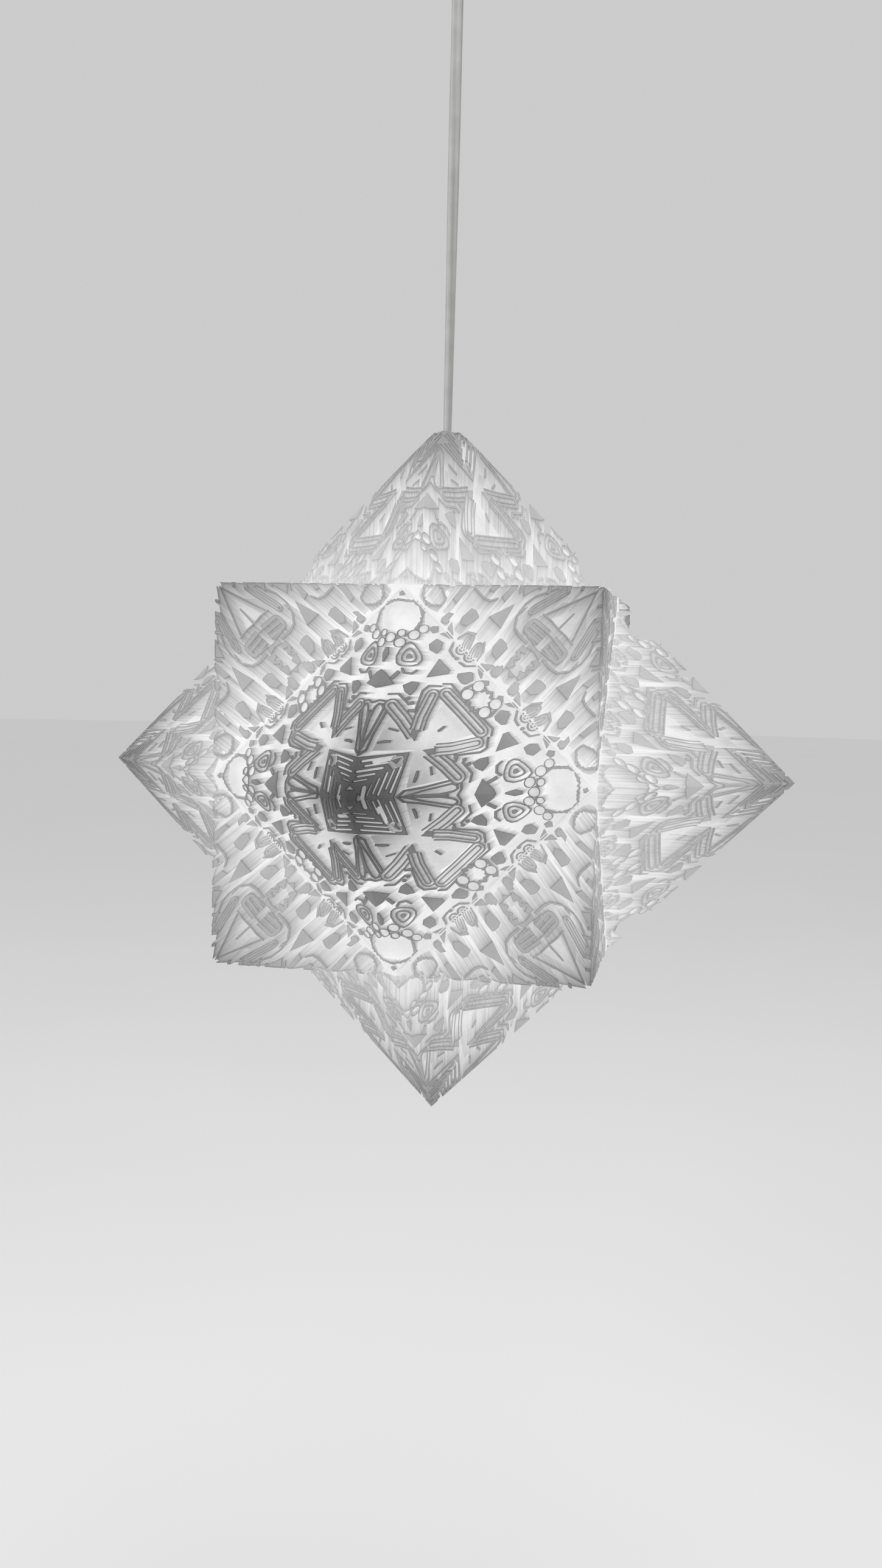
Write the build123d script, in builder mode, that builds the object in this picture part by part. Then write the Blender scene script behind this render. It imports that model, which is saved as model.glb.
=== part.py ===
from build123d import *
import os
from math import atan, cos, pi, radians, sin, sqrt, tan

# Paper snowflake star: a hanging lantern in the shape of a cube run through by an octahedron.
# Six four-sided points stand on the cube's faces, and eight three-sided points are its corners.
# Millimetres, +Z up. The origin is on the ceiling, at the middle of the bracket's upper face.
# The front point looks along -Y.

# ------------------------------------------------------------------ star
hang_height = 488.0         # ceiling to the centre of the star
half_cube = 100.0           # centre to each of the cube's six faces
point_reach = 100.0         # height of a four-sided point above its face of the cube
wall = 2.0                  # sheet that the points are made of
overcut = 0.5               # how far a hollowing cut runs past the solid
tip_cut = 1.2               # blunt end of a point, along its axis
cord_tip_cut = 8.5          # the same on the top point, where the cord goes in
cord_hole_play = 1.1        # cord to the wall of its hole in the top point
seat_gap = 0.3              # top point to its neighbours, square to the seat

# ------------------------------------------------------------------ cord
cord_width = 6.6
cord_thickness = 3.4
cord_play = 0.4             # cord to the walls of the holes that it turns or swings in

# ------------------------------------------------------------------ spider that carries the star
strip_width = 8.0
strip_thickness = 1.5
arm_reach = 98.0            # axis to the end of an arm, under the upper corner points
hub_width = 6.5             # flat ring round the lampholder
ring_play = 0.1             # round pieces that screw or push together

# ------------------------------------------------------------------ lampholder
socket_wall = 6.1           # lampholder's body round the screw socket
holder_above = 18.0         # body above the spider
holder_below = 40.0         # body below the spider, down to its mouth
flange_width = 3.0
flange_thickness = 3.0
shade_ring_width = 7.0
shade_ring_height = 6.0
shade_ring_chamfer = 1.5
cap_height = 20.0
cap_shoulder = 3.0          # flat top of the cap round the nipple
cap_wall = 2.2
nipple_wall = 1.3
nipple_length = 14.0
nipple_in_cap = 4.0
cord_in_nipple = 9.0        # how far the cord's end reaches into the nipple
insert_thickness = 8.0
contact_width = 4.0
contact_length = 12.0
terminal_slot = (4.0, 8.0)   # the insert's two wire terminals
contact_thickness = 0.8

# ------------------------------------------------------------------ bulb
bulb_screw_r = 6.95         # the small screw base, 14 mm across
bulb_screw_length = 19.0
bulb_base_height = 25.0
bulb_base_r = 17.0
globe_r = 22.5
globe_wall = 1.2
bulb_tip_r = 3.5
bulb_tip_height = 2.2
socket_play = 0.3

# ------------------------------------------------------------------ ceiling fitting
bracket_width = 18.0
bracket_thickness = 2.0
bracket_holes_apart = 54.0
bracket_hole_r = 2.25
ear_drop = 14.0
ear_play = 0.5              # bracket's ears to the inside of the canopy
canopy_r = 42.0
canopy_height = 30.0
canopy_wall = 1.5
canopy_edge_r = 6.0
side_screw_drop = 8.0
side_screw_r = 1.5
side_screw_head_r = 3.2
side_screw_head = 2.0
side_screw_proud = 1.0      # screw's end past the inner face of the ear
screw_play = 0.15
bush_wall = 1.7
bush_below = 14.0           # bush under the canopy
nut_height = 4.0
nut_width = 2.5             # nut round the bush, to its flats
swing_height = 3.0          # point that the cord swings about, above the canopy's underside
swing_degrees = 15.0
mouth_spare_degrees = 3.0   # how much wider the bush's mouth opens than the cord swings
clamp_size = (20.0, 13.0, 8.0)
clamp_split = 0.4           # slit between the clamp's halves
clamp_screw_r = 1.4
clamp_screw_apart = 14.0
clamp_head_r = 2.4
clamp_head = 1.4
block_size = (26.0, 15.0, 8.5)
block_screw_r = 1.6
block_screw_apart = 12.0
block_screw_depth = 2.0
block_corner_r = 1.5

# ------------------------------------------------------------------ worked out
star_z = -hang_height
face_height = half_cube
face_radius = half_cube                       # the square's corners are mid-edge on the cube
tip_height = half_cube + point_reach
crease_height = 2 * half_cube / sqrt(3)       # the same two sizes for a corner point
crease_radius = half_cube * sqrt(2 / 3)
corner_height = half_cube * sqrt(3)
cord_r = cord_width / 2
cord_hole_r = cord_r + cord_hole_play
nipple_bore_r = cord_r + cord_play
nipple_r = nipple_bore_r + nipple_wall
cap_neck_r = nipple_r + cap_shoulder
socket_r = bulb_screw_r + socket_play
holder_r = socket_r + socket_wall
swing_drop = canopy_height - swing_height

os.makedirs("parts", exist_ok=True)


def from_star(height):
    """Level plane at a height above the star's centre."""
    return Plane.XY.offset(star_z + height)


def from_ceiling(drop):
    """Level plane at a drop below the ceiling."""
    return Plane.XY.offset(-drop)


def facing_front(y, z):
    """Upright plane across the hanging axis, facing -Y."""
    return Plane(origin=(0, y, z), x_dir=(1, 0, 0), z_dir=(0, -1, 0))


def facing_side(x):
    """Upright plane at the canopy screws' height, facing away from the hanging axis."""
    return Plane(origin=(x, 0, -side_screw_drop), x_dir=(0, 1, 0), z_dir=(1 if x >= 0 else -1, 0, 0))


def hollow_point(sides, base, radius, tip, axis, spoke, cut, lift=0.0):
    """A folded point: a hollow pyramid of a few sides, standing out of the star along axis.

    Its crease polygon is at height base and has a corner on the spoke. Below the crease it
    narrows towards the star's centre, so neighbours meet face to face on a mitre.
    """
    lean = atan(radius * cos(pi / sides) / (tip - base))
    sheet_along_axis = wall / sin(lean)
    root = base * (1 - sheet_along_axis / tip) - overcut

    def level(height):
        middle = Vector(0, 0, star_z) + Vector(*axis) * (height + lift)
        return Plane(origin=middle, x_dir=spoke, z_dir=axis)

    def outside(height):
        return radius * (tip - height) / (tip - base)

    with BuildPart() as point:
        with BuildSketch(level(root)):
            RegularPolygon(radius * root / base, sides)
        with BuildSketch(level(base)):
            RegularPolygon(radius, sides)
        loft(ruled=True)
        with BuildSketch(level(base)):
            RegularPolygon(radius, sides)
        with BuildSketch(level(tip - cut)):
            RegularPolygon(outside(tip - cut), sides)
        loft(ruled=True)
        inner_root = root - overcut
        inner_end = tip - sheet_along_axis - overcut
        with BuildSketch(level(inner_root)):
            RegularPolygon(outside(inner_root + sheet_along_axis), sides)
        with BuildSketch(level(inner_end)):
            RegularPolygon(outside(inner_end + sheet_along_axis), sides)
        loft(ruled=True, mode=Mode.SUBTRACT)
    return point


# ------------------------------------------------------------------ four-sided points
four_sided = {
    "bottom_point": ((0, 0, -1), (1, 0, 0)),
    "front_point": ((0, -1, 0), (1, 0, 0)),
    "back_point": ((0, 1, 0), (1, 0, 0)),
    "left_point": ((-1, 0, 0), (0, 1, 0)),
    "right_point": ((1, 0, 0), (0, 1, 0)),
}
for name, (axis, spoke) in four_sided.items():
    point = hollow_point(4, face_height, face_radius, tip_height, axis, spoke, tip_cut)
    point.part.label = name
    export_step(point.part, f"parts/{name}.step")

# The top point lifts off along the cord, so it sits a little proud of its seat and has a hole.
seat_lean = atan(face_radius * cos(pi / 4) / face_height)
seat_lift = seat_gap / sin(seat_lean)
with BuildPart() as top_point:
    add(
        hollow_point(
            4, face_height, face_radius, tip_height, (0, 0, 1), (1, 0, 0), cord_tip_cut, seat_lift
        ).part
    )
    with BuildSketch(from_star(tip_height)):
        Circle(cord_hole_r)
    extrude(amount=-point_reach / 2, mode=Mode.SUBTRACT)
top_point.part.label = "top_point"
export_step(top_point.part, "parts/top_point.step")

# ------------------------------------------------------------------ three-sided corner points
sides_x = {"left": -1, "right": 1}
sides_y = {"front": -1, "back": 1}
sides_z = {"lower": -1, "upper": 1}
for z_name, z in sides_z.items():
    for y_name, y in sides_y.items():
        for x_name, x in sides_x.items():
            name = f"corner_{z_name}_{y_name}_{x_name}"
            axis = Vector(x, y, z).normalized()
            spoke = Vector(x, y, -2 * z).normalized()
            point = hollow_point(
                3, crease_height, crease_radius, corner_height, axis, spoke, tip_cut
            )
            point.part.label = name
            export_step(point.part, f"parts/{name}.step")

# ------------------------------------------------------------------ spider
# Four flat arms run under the upper corner points' top facets and carry the star on a hub.
spider_top = half_cube - wall
spider_bottom = spider_top - strip_thickness
with BuildPart() as spider:
    with BuildSketch(from_star(spider_bottom)):
        Circle(holder_r + hub_width)
        with PolarLocations(0, 4, start_angle=45):
            with Locations((arm_reach / 2, 0)):
                SlotOverall(arm_reach, strip_width)
        Circle(holder_r + ring_play, mode=Mode.SUBTRACT)
    extrude(amount=strip_thickness)
spider.part.label = "spider"
export_step(spider.part, "parts/spider.step")

# ------------------------------------------------------------------ lampholder
body_top = spider_top + holder_above
mouth = spider_bottom - holder_below
socket_end = mouth + bulb_screw_length
insert_bottom = socket_end + bulb_tip_height + contact_thickness
insert_r = holder_r - cap_wall - ring_play
with BuildPart() as holder_body:
    with BuildSketch(from_star(mouth)):
        Circle(holder_r)
    extrude(amount=body_top - mouth)
    with BuildSketch(from_star(spider_top)):
        Circle(holder_r + flange_width)
    extrude(amount=flange_thickness)
    with BuildSketch(from_star(mouth)):
        Circle(socket_r)
    extrude(amount=socket_end - mouth, mode=Mode.SUBTRACT)
    with BuildSketch(from_star(socket_end)):
        Circle(insert_r + ring_play)
    extrude(amount=body_top - socket_end, mode=Mode.SUBTRACT)
holder_body.part.label = "holder_body"
export_step(holder_body.part, "parts/holder_body.step")

with BuildPart() as shade_ring:
    with BuildSketch(from_star(spider_bottom)):
        Circle(holder_r + shade_ring_width)
        Circle(holder_r + ring_play, mode=Mode.SUBTRACT)
    extrude(amount=-shade_ring_height)
    chamfer(shade_ring.edges().group_by(Axis.Z)[0].sort_by(SortBy.LENGTH)[-1], length=shade_ring_chamfer)
shade_ring.part.label = "shade_ring"
export_step(shade_ring.part, "parts/shade_ring.step")

# The insert closes the socket and holds the terminals; it stands on the body's inner step.
with BuildPart() as contact_insert:
    with BuildSketch(from_star(insert_bottom)):
        Circle(insert_r)
    extrude(amount=insert_thickness)
    with BuildSketch(from_star(insert_bottom + insert_thickness)):
        with GridLocations(2 * terminal_slot[0], 0, 2, 1):
            RectangleRounded(terminal_slot[0], terminal_slot[1], 1.0)
    extrude(amount=-insert_thickness / 2, mode=Mode.SUBTRACT)
    with BuildSketch(from_star(insert_bottom)):
        Circle(insert_r)
        Circle(socket_r, mode=Mode.SUBTRACT)
    extrude(amount=socket_end - insert_bottom)
contact_insert.part.label = "contact_insert"
export_step(contact_insert.part, "parts/contact_insert.step")

with BuildPart() as centre_contact:
    with BuildSketch(from_star(insert_bottom)):
        SlotOverall(contact_length, contact_width)
    extrude(amount=-contact_thickness)
centre_contact.part.label = "centre_contact"
export_step(centre_contact.part, "parts/centre_contact.step")

cap_top = body_top + cap_height
with BuildPart() as holder_cap:
    with BuildSketch(from_star(body_top)):
        Circle(holder_r)
    with BuildSketch(from_star(cap_top)):
        Circle(cap_neck_r)
    loft()
    with BuildSketch(from_star(body_top)):
        Circle(holder_r - cap_wall)
    with BuildSketch(from_star(cap_top - nipple_in_cap - cap_wall)):
        Circle(cap_neck_r)
    loft(mode=Mode.SUBTRACT)
    with BuildSketch(from_star(cap_top)):
        Circle(nipple_r + ring_play)
    extrude(amount=-nipple_in_cap - cap_wall - ring_play, mode=Mode.SUBTRACT)
holder_cap.part.label = "holder_cap"
export_step(holder_cap.part, "parts/holder_cap.step")

nipple_top = cap_top + nipple_length - nipple_in_cap
grip_height = (cap_top + nipple_top) / 2
with BuildPart() as cord_nipple:
    with BuildSketch(from_star(nipple_top)):
        Circle(nipple_r)
        Circle(nipple_bore_r, mode=Mode.SUBTRACT)
    extrude(amount=-nipple_length)
    with BuildSketch(facing_front(0, star_z + grip_height)):
        Circle(side_screw_r + screw_play)
    extrude(amount=2 * nipple_r, mode=Mode.SUBTRACT)
cord_nipple.part.label = "cord_nipple"
export_step(cord_nipple.part, "parts/cord_nipple.step")

with BuildPart() as grip_screw:
    with BuildSketch(facing_front(-nipple_bore_r, star_z + grip_height)):
        Circle(side_screw_r)
    extrude(amount=nipple_r)
grip_screw.part.label = "grip_screw"
export_step(grip_screw.part, "parts/grip_screw.step")

# ------------------------------------------------------------------ bulb
with BuildPart() as bulb_screw:
    with BuildSketch(from_star(mouth)):
        Circle(bulb_screw_r)
    extrude(amount=bulb_screw_length - socket_play)
    with BuildSketch(from_star(socket_end - socket_play)):
        Circle(bulb_tip_r)
    extrude(amount=bulb_tip_height)
bulb_screw.part.label = "bulb_screw"
export_step(bulb_screw.part, "parts/bulb_screw.step")

base_bottom = mouth - bulb_base_height
globe_drop = sqrt(globe_r**2 - bulb_base_r**2)
globe_middle = base_bottom - globe_drop
with BuildPart() as bulb_base:
    with BuildSketch(from_star(base_bottom)):
        Circle(bulb_base_r)
    with BuildSketch(from_star(mouth)):
        Circle(bulb_screw_r)
    loft()
bulb_base.part.label = "bulb_base"
export_step(bulb_base.part, "parts/bulb_base.step")

with BuildPart() as bulb_globe:
    with Locations((0, 0, star_z + globe_middle)):
        Sphere(globe_r)
        Sphere(globe_r - globe_wall, mode=Mode.SUBTRACT)
    split(bisect_by=from_star(base_bottom), keep=Keep.BOTTOM)
bulb_globe.part.label = "bulb_globe"
export_step(bulb_globe.part, "parts/bulb_globe.step")

# ------------------------------------------------------------------ cord
# It hangs straight from the ceiling fitting down through the top point into the nipple.
cord_top = -swing_drop
cord_bottom = star_z + nipple_top - cord_in_nipple
cord_length = cord_top - cord_bottom
with BuildPart() as cord:
    with BuildSketch(Plane.XY.offset(cord_bottom)):
        SlotOverall(cord_width, cord_thickness)
    extrude(amount=cord_length)
cord.part.label = "cord"
export_step(cord.part, "parts/cord.step")
cord_section = (cord_width - cord_thickness) * cord_thickness + pi * cord_thickness**2 / 4
print(f"cord: {cord_length:.1f} mm straight, no bends")
print(f"cord volume {cord.part.volume:.1f}, section x length {cord_section * cord_length:.1f}")

# ------------------------------------------------------------------ ceiling fitting
# The bush's mouth opens wider than the cord swings.
bush_bottom = canopy_height + bush_below
bush_bore_r = cord_r / cos(radians(swing_degrees)) + cord_play
mouth_slope = tan(radians(swing_degrees + mouth_spare_degrees))
mouth_r = bush_bore_r + (bush_bottom - swing_drop) * mouth_slope
bush_neck_r = bush_bore_r + swing_height * mouth_slope + bush_wall
canopy_in_r = canopy_r - canopy_wall
ear_face = canopy_in_r - ear_play
with BuildPart() as bracket:
    with BuildSketch(from_ceiling(0)):
        Rectangle(2 * ear_face, bracket_width)
        with GridLocations(bracket_holes_apart, 0, 2, 1):
            Circle(bracket_hole_r, mode=Mode.SUBTRACT)
    extrude(amount=-bracket_thickness)
    with BuildSketch(from_ceiling(0)):
        with GridLocations(2 * ear_face - bracket_thickness, 0, 2, 1):
            Rectangle(bracket_thickness, bracket_width)
    extrude(amount=-ear_drop)
    with BuildSketch(from_ceiling(0)):
        Circle(canopy_in_r - ear_play / 2)
    extrude(amount=-ear_drop, mode=Mode.INTERSECT)
    with BuildSketch(facing_side(0)):
        Circle(side_screw_r + ring_play)
    extrude(amount=canopy_r, both=True, mode=Mode.SUBTRACT)
bracket.part.label = "bracket"
export_step(bracket.part, "parts/bracket.step")

with BuildPart() as canopy:
    with BuildSketch(from_ceiling(0)):
        Circle(canopy_r)
    extrude(amount=-canopy_height)
    fillet(canopy.edges().group_by(Axis.Z)[0], radius=canopy_edge_r)
    offset(amount=-canopy_wall, openings=canopy.faces().sort_by(Axis.Z)[-1])
    with BuildSketch(from_ceiling(canopy_height)):
        Circle(bush_neck_r + ring_play)
    extrude(amount=canopy_wall, mode=Mode.SUBTRACT)
    with BuildSketch(facing_side(0)):
        Circle(side_screw_r + screw_play)
    extrude(amount=canopy_r, both=True, mode=Mode.SUBTRACT)
canopy.part.label = "canopy"
export_step(canopy.part, "parts/canopy.step")

# Two screws through the canopy's sides into the bracket's ears.
with BuildPart() as canopy_screws:
    for side in (-1, 1):
        with BuildSketch(facing_side(side * canopy_r)):
            Circle(side_screw_head_r)
        extrude(amount=side_screw_head)
        with BuildSketch(facing_side(side * canopy_r)):
            Circle(side_screw_r)
        extrude(amount=-(canopy_r - ear_face + bracket_thickness + side_screw_proud))
canopy_screws.part.label = "canopy_screws"
export_step(canopy_screws.part, "parts/canopy_screws.step")

nut_top = canopy_height - canopy_wall - nut_height
with BuildPart() as cord_bush:
    with BuildSketch(from_ceiling(canopy_height)):
        Circle(mouth_r + bush_wall)
    extrude(amount=-bush_below)
    with BuildSketch(from_ceiling(canopy_height)):
        Circle(bush_neck_r)
    extrude(amount=canopy_height - nut_top)
    with BuildSketch(from_ceiling(nut_top)):
        Circle(bush_bore_r)
    extrude(amount=nut_top - swing_drop, mode=Mode.SUBTRACT)
    with BuildSketch(from_ceiling(swing_drop)):
        Circle(bush_bore_r)
    with BuildSketch(from_ceiling(bush_bottom)):
        Circle(mouth_r)
    loft(mode=Mode.SUBTRACT)
cord_bush.part.label = "cord_bush"
export_step(cord_bush.part, "parts/cord_bush.step")

with BuildPart() as bush_nut:
    with BuildSketch(from_ceiling(nut_top)):
        RegularPolygon(bush_neck_r + nut_width, 6, major_radius=False)
        Circle(bush_neck_r + ring_play, mode=Mode.SUBTRACT)
    extrude(amount=-nut_height)
bush_nut.part.label = "bush_nut"
export_step(bush_nut.part, "parts/bush_nut.step")

# Two clamp halves on the nut grip the fixed end of the cord.
clamp_middle = clamp_size[2] / 2 - nut_top
for name, side in {"clamp_front": -1, "clamp_back": 1}.items():
    with BuildPart() as clamp:
        with BuildSketch(from_ceiling(nut_top)):
            Rectangle(clamp_size[0], clamp_size[1])
            with Locations((0, -side * clamp_size[1] / 2)):
                Rectangle(clamp_size[0], clamp_size[1] + clamp_split, mode=Mode.SUBTRACT)
            SlotOverall(
                cord_width + 2 * ring_play, cord_thickness + 2 * ring_play, mode=Mode.SUBTRACT
            )
        extrude(amount=clamp_size[2])
        with BuildSketch(facing_front(0, clamp_middle)):
            with GridLocations(clamp_screw_apart, 0, 2, 1):
                Circle(clamp_screw_r + ring_play)
        extrude(amount=clamp_size[1], both=True, mode=Mode.SUBTRACT)
    clamp.part.label = name
    export_step(clamp.part, f"parts/{name}.step")

with BuildPart() as clamp_screws:
    clamp_face = facing_front(-clamp_size[1] / 2, clamp_middle)
    with BuildSketch(clamp_face):
        with GridLocations(clamp_screw_apart, 0, 2, 1):
            Circle(clamp_head_r)
    extrude(amount=clamp_head)
    with BuildSketch(clamp_face):
        with GridLocations(clamp_screw_apart, 0, 2, 1):
            Circle(clamp_screw_r)
    extrude(amount=-clamp_size[1])
clamp_screws.part.label = "clamp_screws"
export_step(clamp_screws.part, "parts/clamp_screws.step")

# The fixed end of the cord runs on from the swinging length up into the terminal block.
block_bottom = bracket_thickness + block_size[2]
block_face = facing_front(-block_size[1] / 2, block_size[2] / 2 - block_bottom)
tail_gap = cord_r * sin(radians(swing_degrees)) + cord_play
with BuildPart() as cord_tail:
    with BuildSketch(from_ceiling(swing_drop - tail_gap)):
        SlotOverall(cord_width, cord_thickness)
    extrude(amount=swing_drop - tail_gap - block_bottom)
cord_tail.part.label = "cord_tail"
export_step(cord_tail.part, "parts/cord_tail.step")

with BuildPart() as terminal_block:
    with BuildSketch(from_ceiling(block_bottom)):
        RectangleRounded(block_size[0], block_size[1], block_corner_r)
    extrude(amount=block_size[2])
    with BuildSketch(block_face):
        with GridLocations(block_screw_apart, 0, 2, 1):
            Circle(block_screw_r + ring_play)
    extrude(amount=-block_screw_depth * 2, mode=Mode.SUBTRACT)
terminal_block.part.label = "terminal_block"
export_step(terminal_block.part, "parts/terminal_block.step")

with BuildPart() as terminal_screws:
    with BuildSketch(block_face.offset(-block_screw_depth)):
        with GridLocations(block_screw_apart, 0, 2, 1):
            Circle(block_screw_r)
    extrude(amount=-block_screw_depth)
terminal_screws.part.label = "terminal_screws"
export_step(terminal_screws.part, "parts/terminal_screws.step")

lift_room = -bush_bottom - (star_z + tip_height)
print(f"room above the star: {lift_room:.1f} mm; bush mouth radius {mouth_r:.2f} mm")
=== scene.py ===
# %% [markdown]
# # A lit paper star on its cord
#
# The lantern is a cube run through by an octahedron: six four-sided points stand on the cube's faces
# and eight three-sided points are its corners. One bulb lights it from inside. Every point is a pale
# shell with a deep relief, like a block that was cut through a stencil: flat-topped pegs, thin fins
# that nest like hairpins, woven straps and saw-edged windows. All cuts run along the point's own axis.
#
# This lesson loads the measured frame of the lantern first, and then dresses it. The frame gives
# the sizes and places of the star and its fittings. Only the relief's outlines are set out one by one,
# in millimetres, on one part of each kind of point, and copied round it.

# %% The frame
import bpy
import bmesh
from math import atan2, cos, hypot, pi, radians, sin, sqrt
from mathutils import Matrix, Vector
from mathutils.geometry import delaunay_2d_cdt


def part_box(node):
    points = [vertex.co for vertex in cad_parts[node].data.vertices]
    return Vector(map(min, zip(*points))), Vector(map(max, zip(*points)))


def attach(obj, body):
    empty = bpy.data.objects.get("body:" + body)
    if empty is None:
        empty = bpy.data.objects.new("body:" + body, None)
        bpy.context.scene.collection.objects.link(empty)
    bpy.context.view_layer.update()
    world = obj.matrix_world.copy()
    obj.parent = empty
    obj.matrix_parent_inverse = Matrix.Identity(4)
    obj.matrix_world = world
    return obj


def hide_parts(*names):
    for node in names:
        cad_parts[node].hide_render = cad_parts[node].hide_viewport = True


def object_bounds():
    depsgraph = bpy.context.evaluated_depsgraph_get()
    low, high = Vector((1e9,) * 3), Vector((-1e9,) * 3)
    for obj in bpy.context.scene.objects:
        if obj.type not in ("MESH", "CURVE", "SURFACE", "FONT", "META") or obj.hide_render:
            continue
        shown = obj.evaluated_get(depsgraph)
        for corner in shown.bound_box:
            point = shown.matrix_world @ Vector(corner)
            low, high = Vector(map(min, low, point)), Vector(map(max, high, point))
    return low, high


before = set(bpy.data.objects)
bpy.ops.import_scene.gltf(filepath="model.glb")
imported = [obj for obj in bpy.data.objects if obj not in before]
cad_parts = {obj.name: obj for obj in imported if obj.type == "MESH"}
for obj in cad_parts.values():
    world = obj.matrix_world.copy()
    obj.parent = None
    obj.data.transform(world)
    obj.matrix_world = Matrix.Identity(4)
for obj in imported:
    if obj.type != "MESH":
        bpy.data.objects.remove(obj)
cad_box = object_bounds()
mm = 0.001
scene = bpy.context.scene
print("nodes in the frame:", len(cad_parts))

# %% [markdown]
# The star's centre is the middle of the left and right points' boxes, and half the cube is the height
# at which those two start. All relief work below is in millimetres from the star's centre.

# %% Star centre and sizes
left_low, left_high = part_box("left_point")
star_centre = Vector((0, 0, (left_low[2] + left_high[2]) / 2))
half_cube = (left_high[2] - left_low[2]) / 2 / mm
print("star centre", star_centre[:], "half cube", round(half_cube, 1), "mm")

# %% [markdown]
# ## Camera
# A portrait camera stands a little to the right of the front point and almost level with it. Its place
# and its turn are given relative to the star, so that a longer cord would carry the camera along.

# %% Camera
camera_stand = Vector((0.1593, -0.7697, 0.0555))
focal_length = 31.18
sensor_width = 36.0
camera_turn = {"yaw": -11.61, "pitch": 4.64, "roll": 1.37}
turn = (
    Matrix.Rotation(radians(camera_turn["roll"]), 3, "Y")
    @ Matrix.Rotation(radians(camera_turn["pitch"]), 3, "X")
    @ Matrix.Rotation(radians(camera_turn["yaw"]), 3, "Z")
).transposed()
to_right, forward, upward = turn.col
camera = bpy.data.objects.new("camera", bpy.data.cameras.new("camera"))
camera.data.lens = focal_length
camera.data.sensor_width = sensor_width
camera.data.clip_start = 0.02
scene.collection.objects.link(camera)
camera.matrix_world = Matrix.Translation(star_centre + camera_stand) @ Matrix(
    (to_right, upward, -forward)
).transposed().to_4x4()
scene.camera = camera
print("camera at", [round(v, 4) for v in camera.location])


# %% [markdown]
# ## Small helpers for finishes
# A finish is a tree of nodes round one Principled shader. These helpers only save typing: each new
# node gets its values from keywords, and a link is one line.

# %% Helpers for finishes
def new_finish(name):
    """A material with a fresh Principled shader, and its node tree."""
    finish = bpy.data.materials.new(name)
    finish.use_nodes = True
    nodes = finish.node_tree.nodes
    nodes.clear()
    output = nodes.new("ShaderNodeOutputMaterial")
    shader = nodes.new("ShaderNodeBsdfPrincipled")
    finish.node_tree.links.new(shader.outputs["BSDF"], output.inputs["Surface"])
    return finish, shader


def add_node(finish, kind, **values):
    """A node of a kind, with its settings or its unlinked sockets given by name."""
    node = finish.node_tree.nodes.new(kind)
    for key, value in values.items():
        if hasattr(node, key):
            setattr(node, key, value)
        else:
            node.inputs[key.replace("_", " ")].default_value = value
    return node


def link(finish, source, target):
    finish.node_tree.links.new(source, target)


def ramp(finish, factor, stops):
    """A colour ramp fed by factor; stops are (place, grey) or (place, (r, g, b))."""
    node = add_node(finish, "ShaderNodeValToRGB")
    elements = node.color_ramp.elements
    while len(elements) > 1:
        elements.remove(elements[-1])
    for index, (place, tone) in enumerate(stops):
        element = elements[0] if index == 0 else elements.new(place)
        element.position = place
        colour = (tone, tone, tone) if isinstance(tone, float) else tone
        element.color = (*colour, 1.0)
    link(finish, factor, node.inputs["Fac"])
    return node.outputs["Color"]


print("helpers ready: new_finish, add_node, link, ramp")


# %% [markdown]
# Sums between nodes come up often enough to have a helper of their own.

# %% Helper for sums
def math(finish, operation, first, second=None):
    """One Math node; each operand is a number or an output."""
    node = add_node(finish, "ShaderNodeMath", operation=operation)
    for socket, operand in zip(node.inputs, (first, second)):
        if operand is None:
            continue
        if isinstance(operand, (int, float)):
            socket.default_value = operand
        else:
            link(finish, operand, socket)
    return node.outputs["Value"]


print("helper ready: math")


# %% [markdown]
# ## Cord
# The lantern hangs on a flat twin cord: two insulated cores side by side, joined by a thin web. It is
# pulled straight by the star's weight, and it turns about its own length by a quarter turn on the way
# down, so that it shows its flat side at the top and its edge at the star. A swept section says
# this best: the outline of two touching rounds is extruded along the route, and turned a little at
# every step.

# %% Cord route
cord_low, cord_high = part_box("cord")
cord_width = cord_high[0] - cord_low[0]
cord_thickness = cord_high[1] - cord_low[1]
cord_exit = Vector((0, 0, cord_low[2]))
cord_top = Vector((0, 0, cord_high[2]))
route_data = bpy.data.curves.new("cord_route", "CURVE")
route_data.dimensions = "3D"
route_data.resolution_u = 24
route = route_data.splines.new("NURBS")
route_points = 5
route.points.add(route_points - 1)
for index, point in enumerate(route.points):
    point.co = (*cord_exit.lerp(cord_top, index / (route_points - 1)), 1.0)
route.order_u = 3
route.use_endpoint_u = True
route_object = bpy.data.objects.new("cord_route", route_data)
scene.collection.objects.link(route_object)
route_mesh = bpy.data.meshes.new_from_object(route_object)
route_line = [vertex.co.copy() for vertex in route_mesh.vertices]
bpy.data.objects.remove(route_object)
bpy.data.meshes.remove(route_mesh)
print("cord route:", len(route_line), "points,", round((cord_top - cord_exit).length / mm, 1), "mm")


# %% A piece from a bmesh
def new_piece(name, mesh_maker, body, finish=None):
    """An object at the origin made from a finished bmesh, riding on a body of the frame."""
    mesh = bpy.data.meshes.new(name)
    mesh_maker.to_mesh(mesh)
    mesh_maker.free()
    piece = bpy.data.objects.new(name, mesh)
    scene.collection.objects.link(piece)
    if finish:
        mesh.materials.append(finish)
    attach(piece, body)
    return piece


print("helper ready: new_piece")


# %% Cord sheath
def twin_outline(width, thickness, steps=7):
    """Outline of two touching rounds with a shallow groove between them on each flat side."""
    core = thickness / 2
    middle = width / 2 - core
    groove = radians(38)    # half the part of each round that the web hides
    outline = []
    for side in (1, -1):
        for step in range(steps + 1):
            angle = -pi + groove + step * (2 * pi - 2 * groove) / steps
            outline.append(Vector((side * (middle + core * cos(angle)), side * core * sin(angle), 0)))
    return outline


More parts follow.
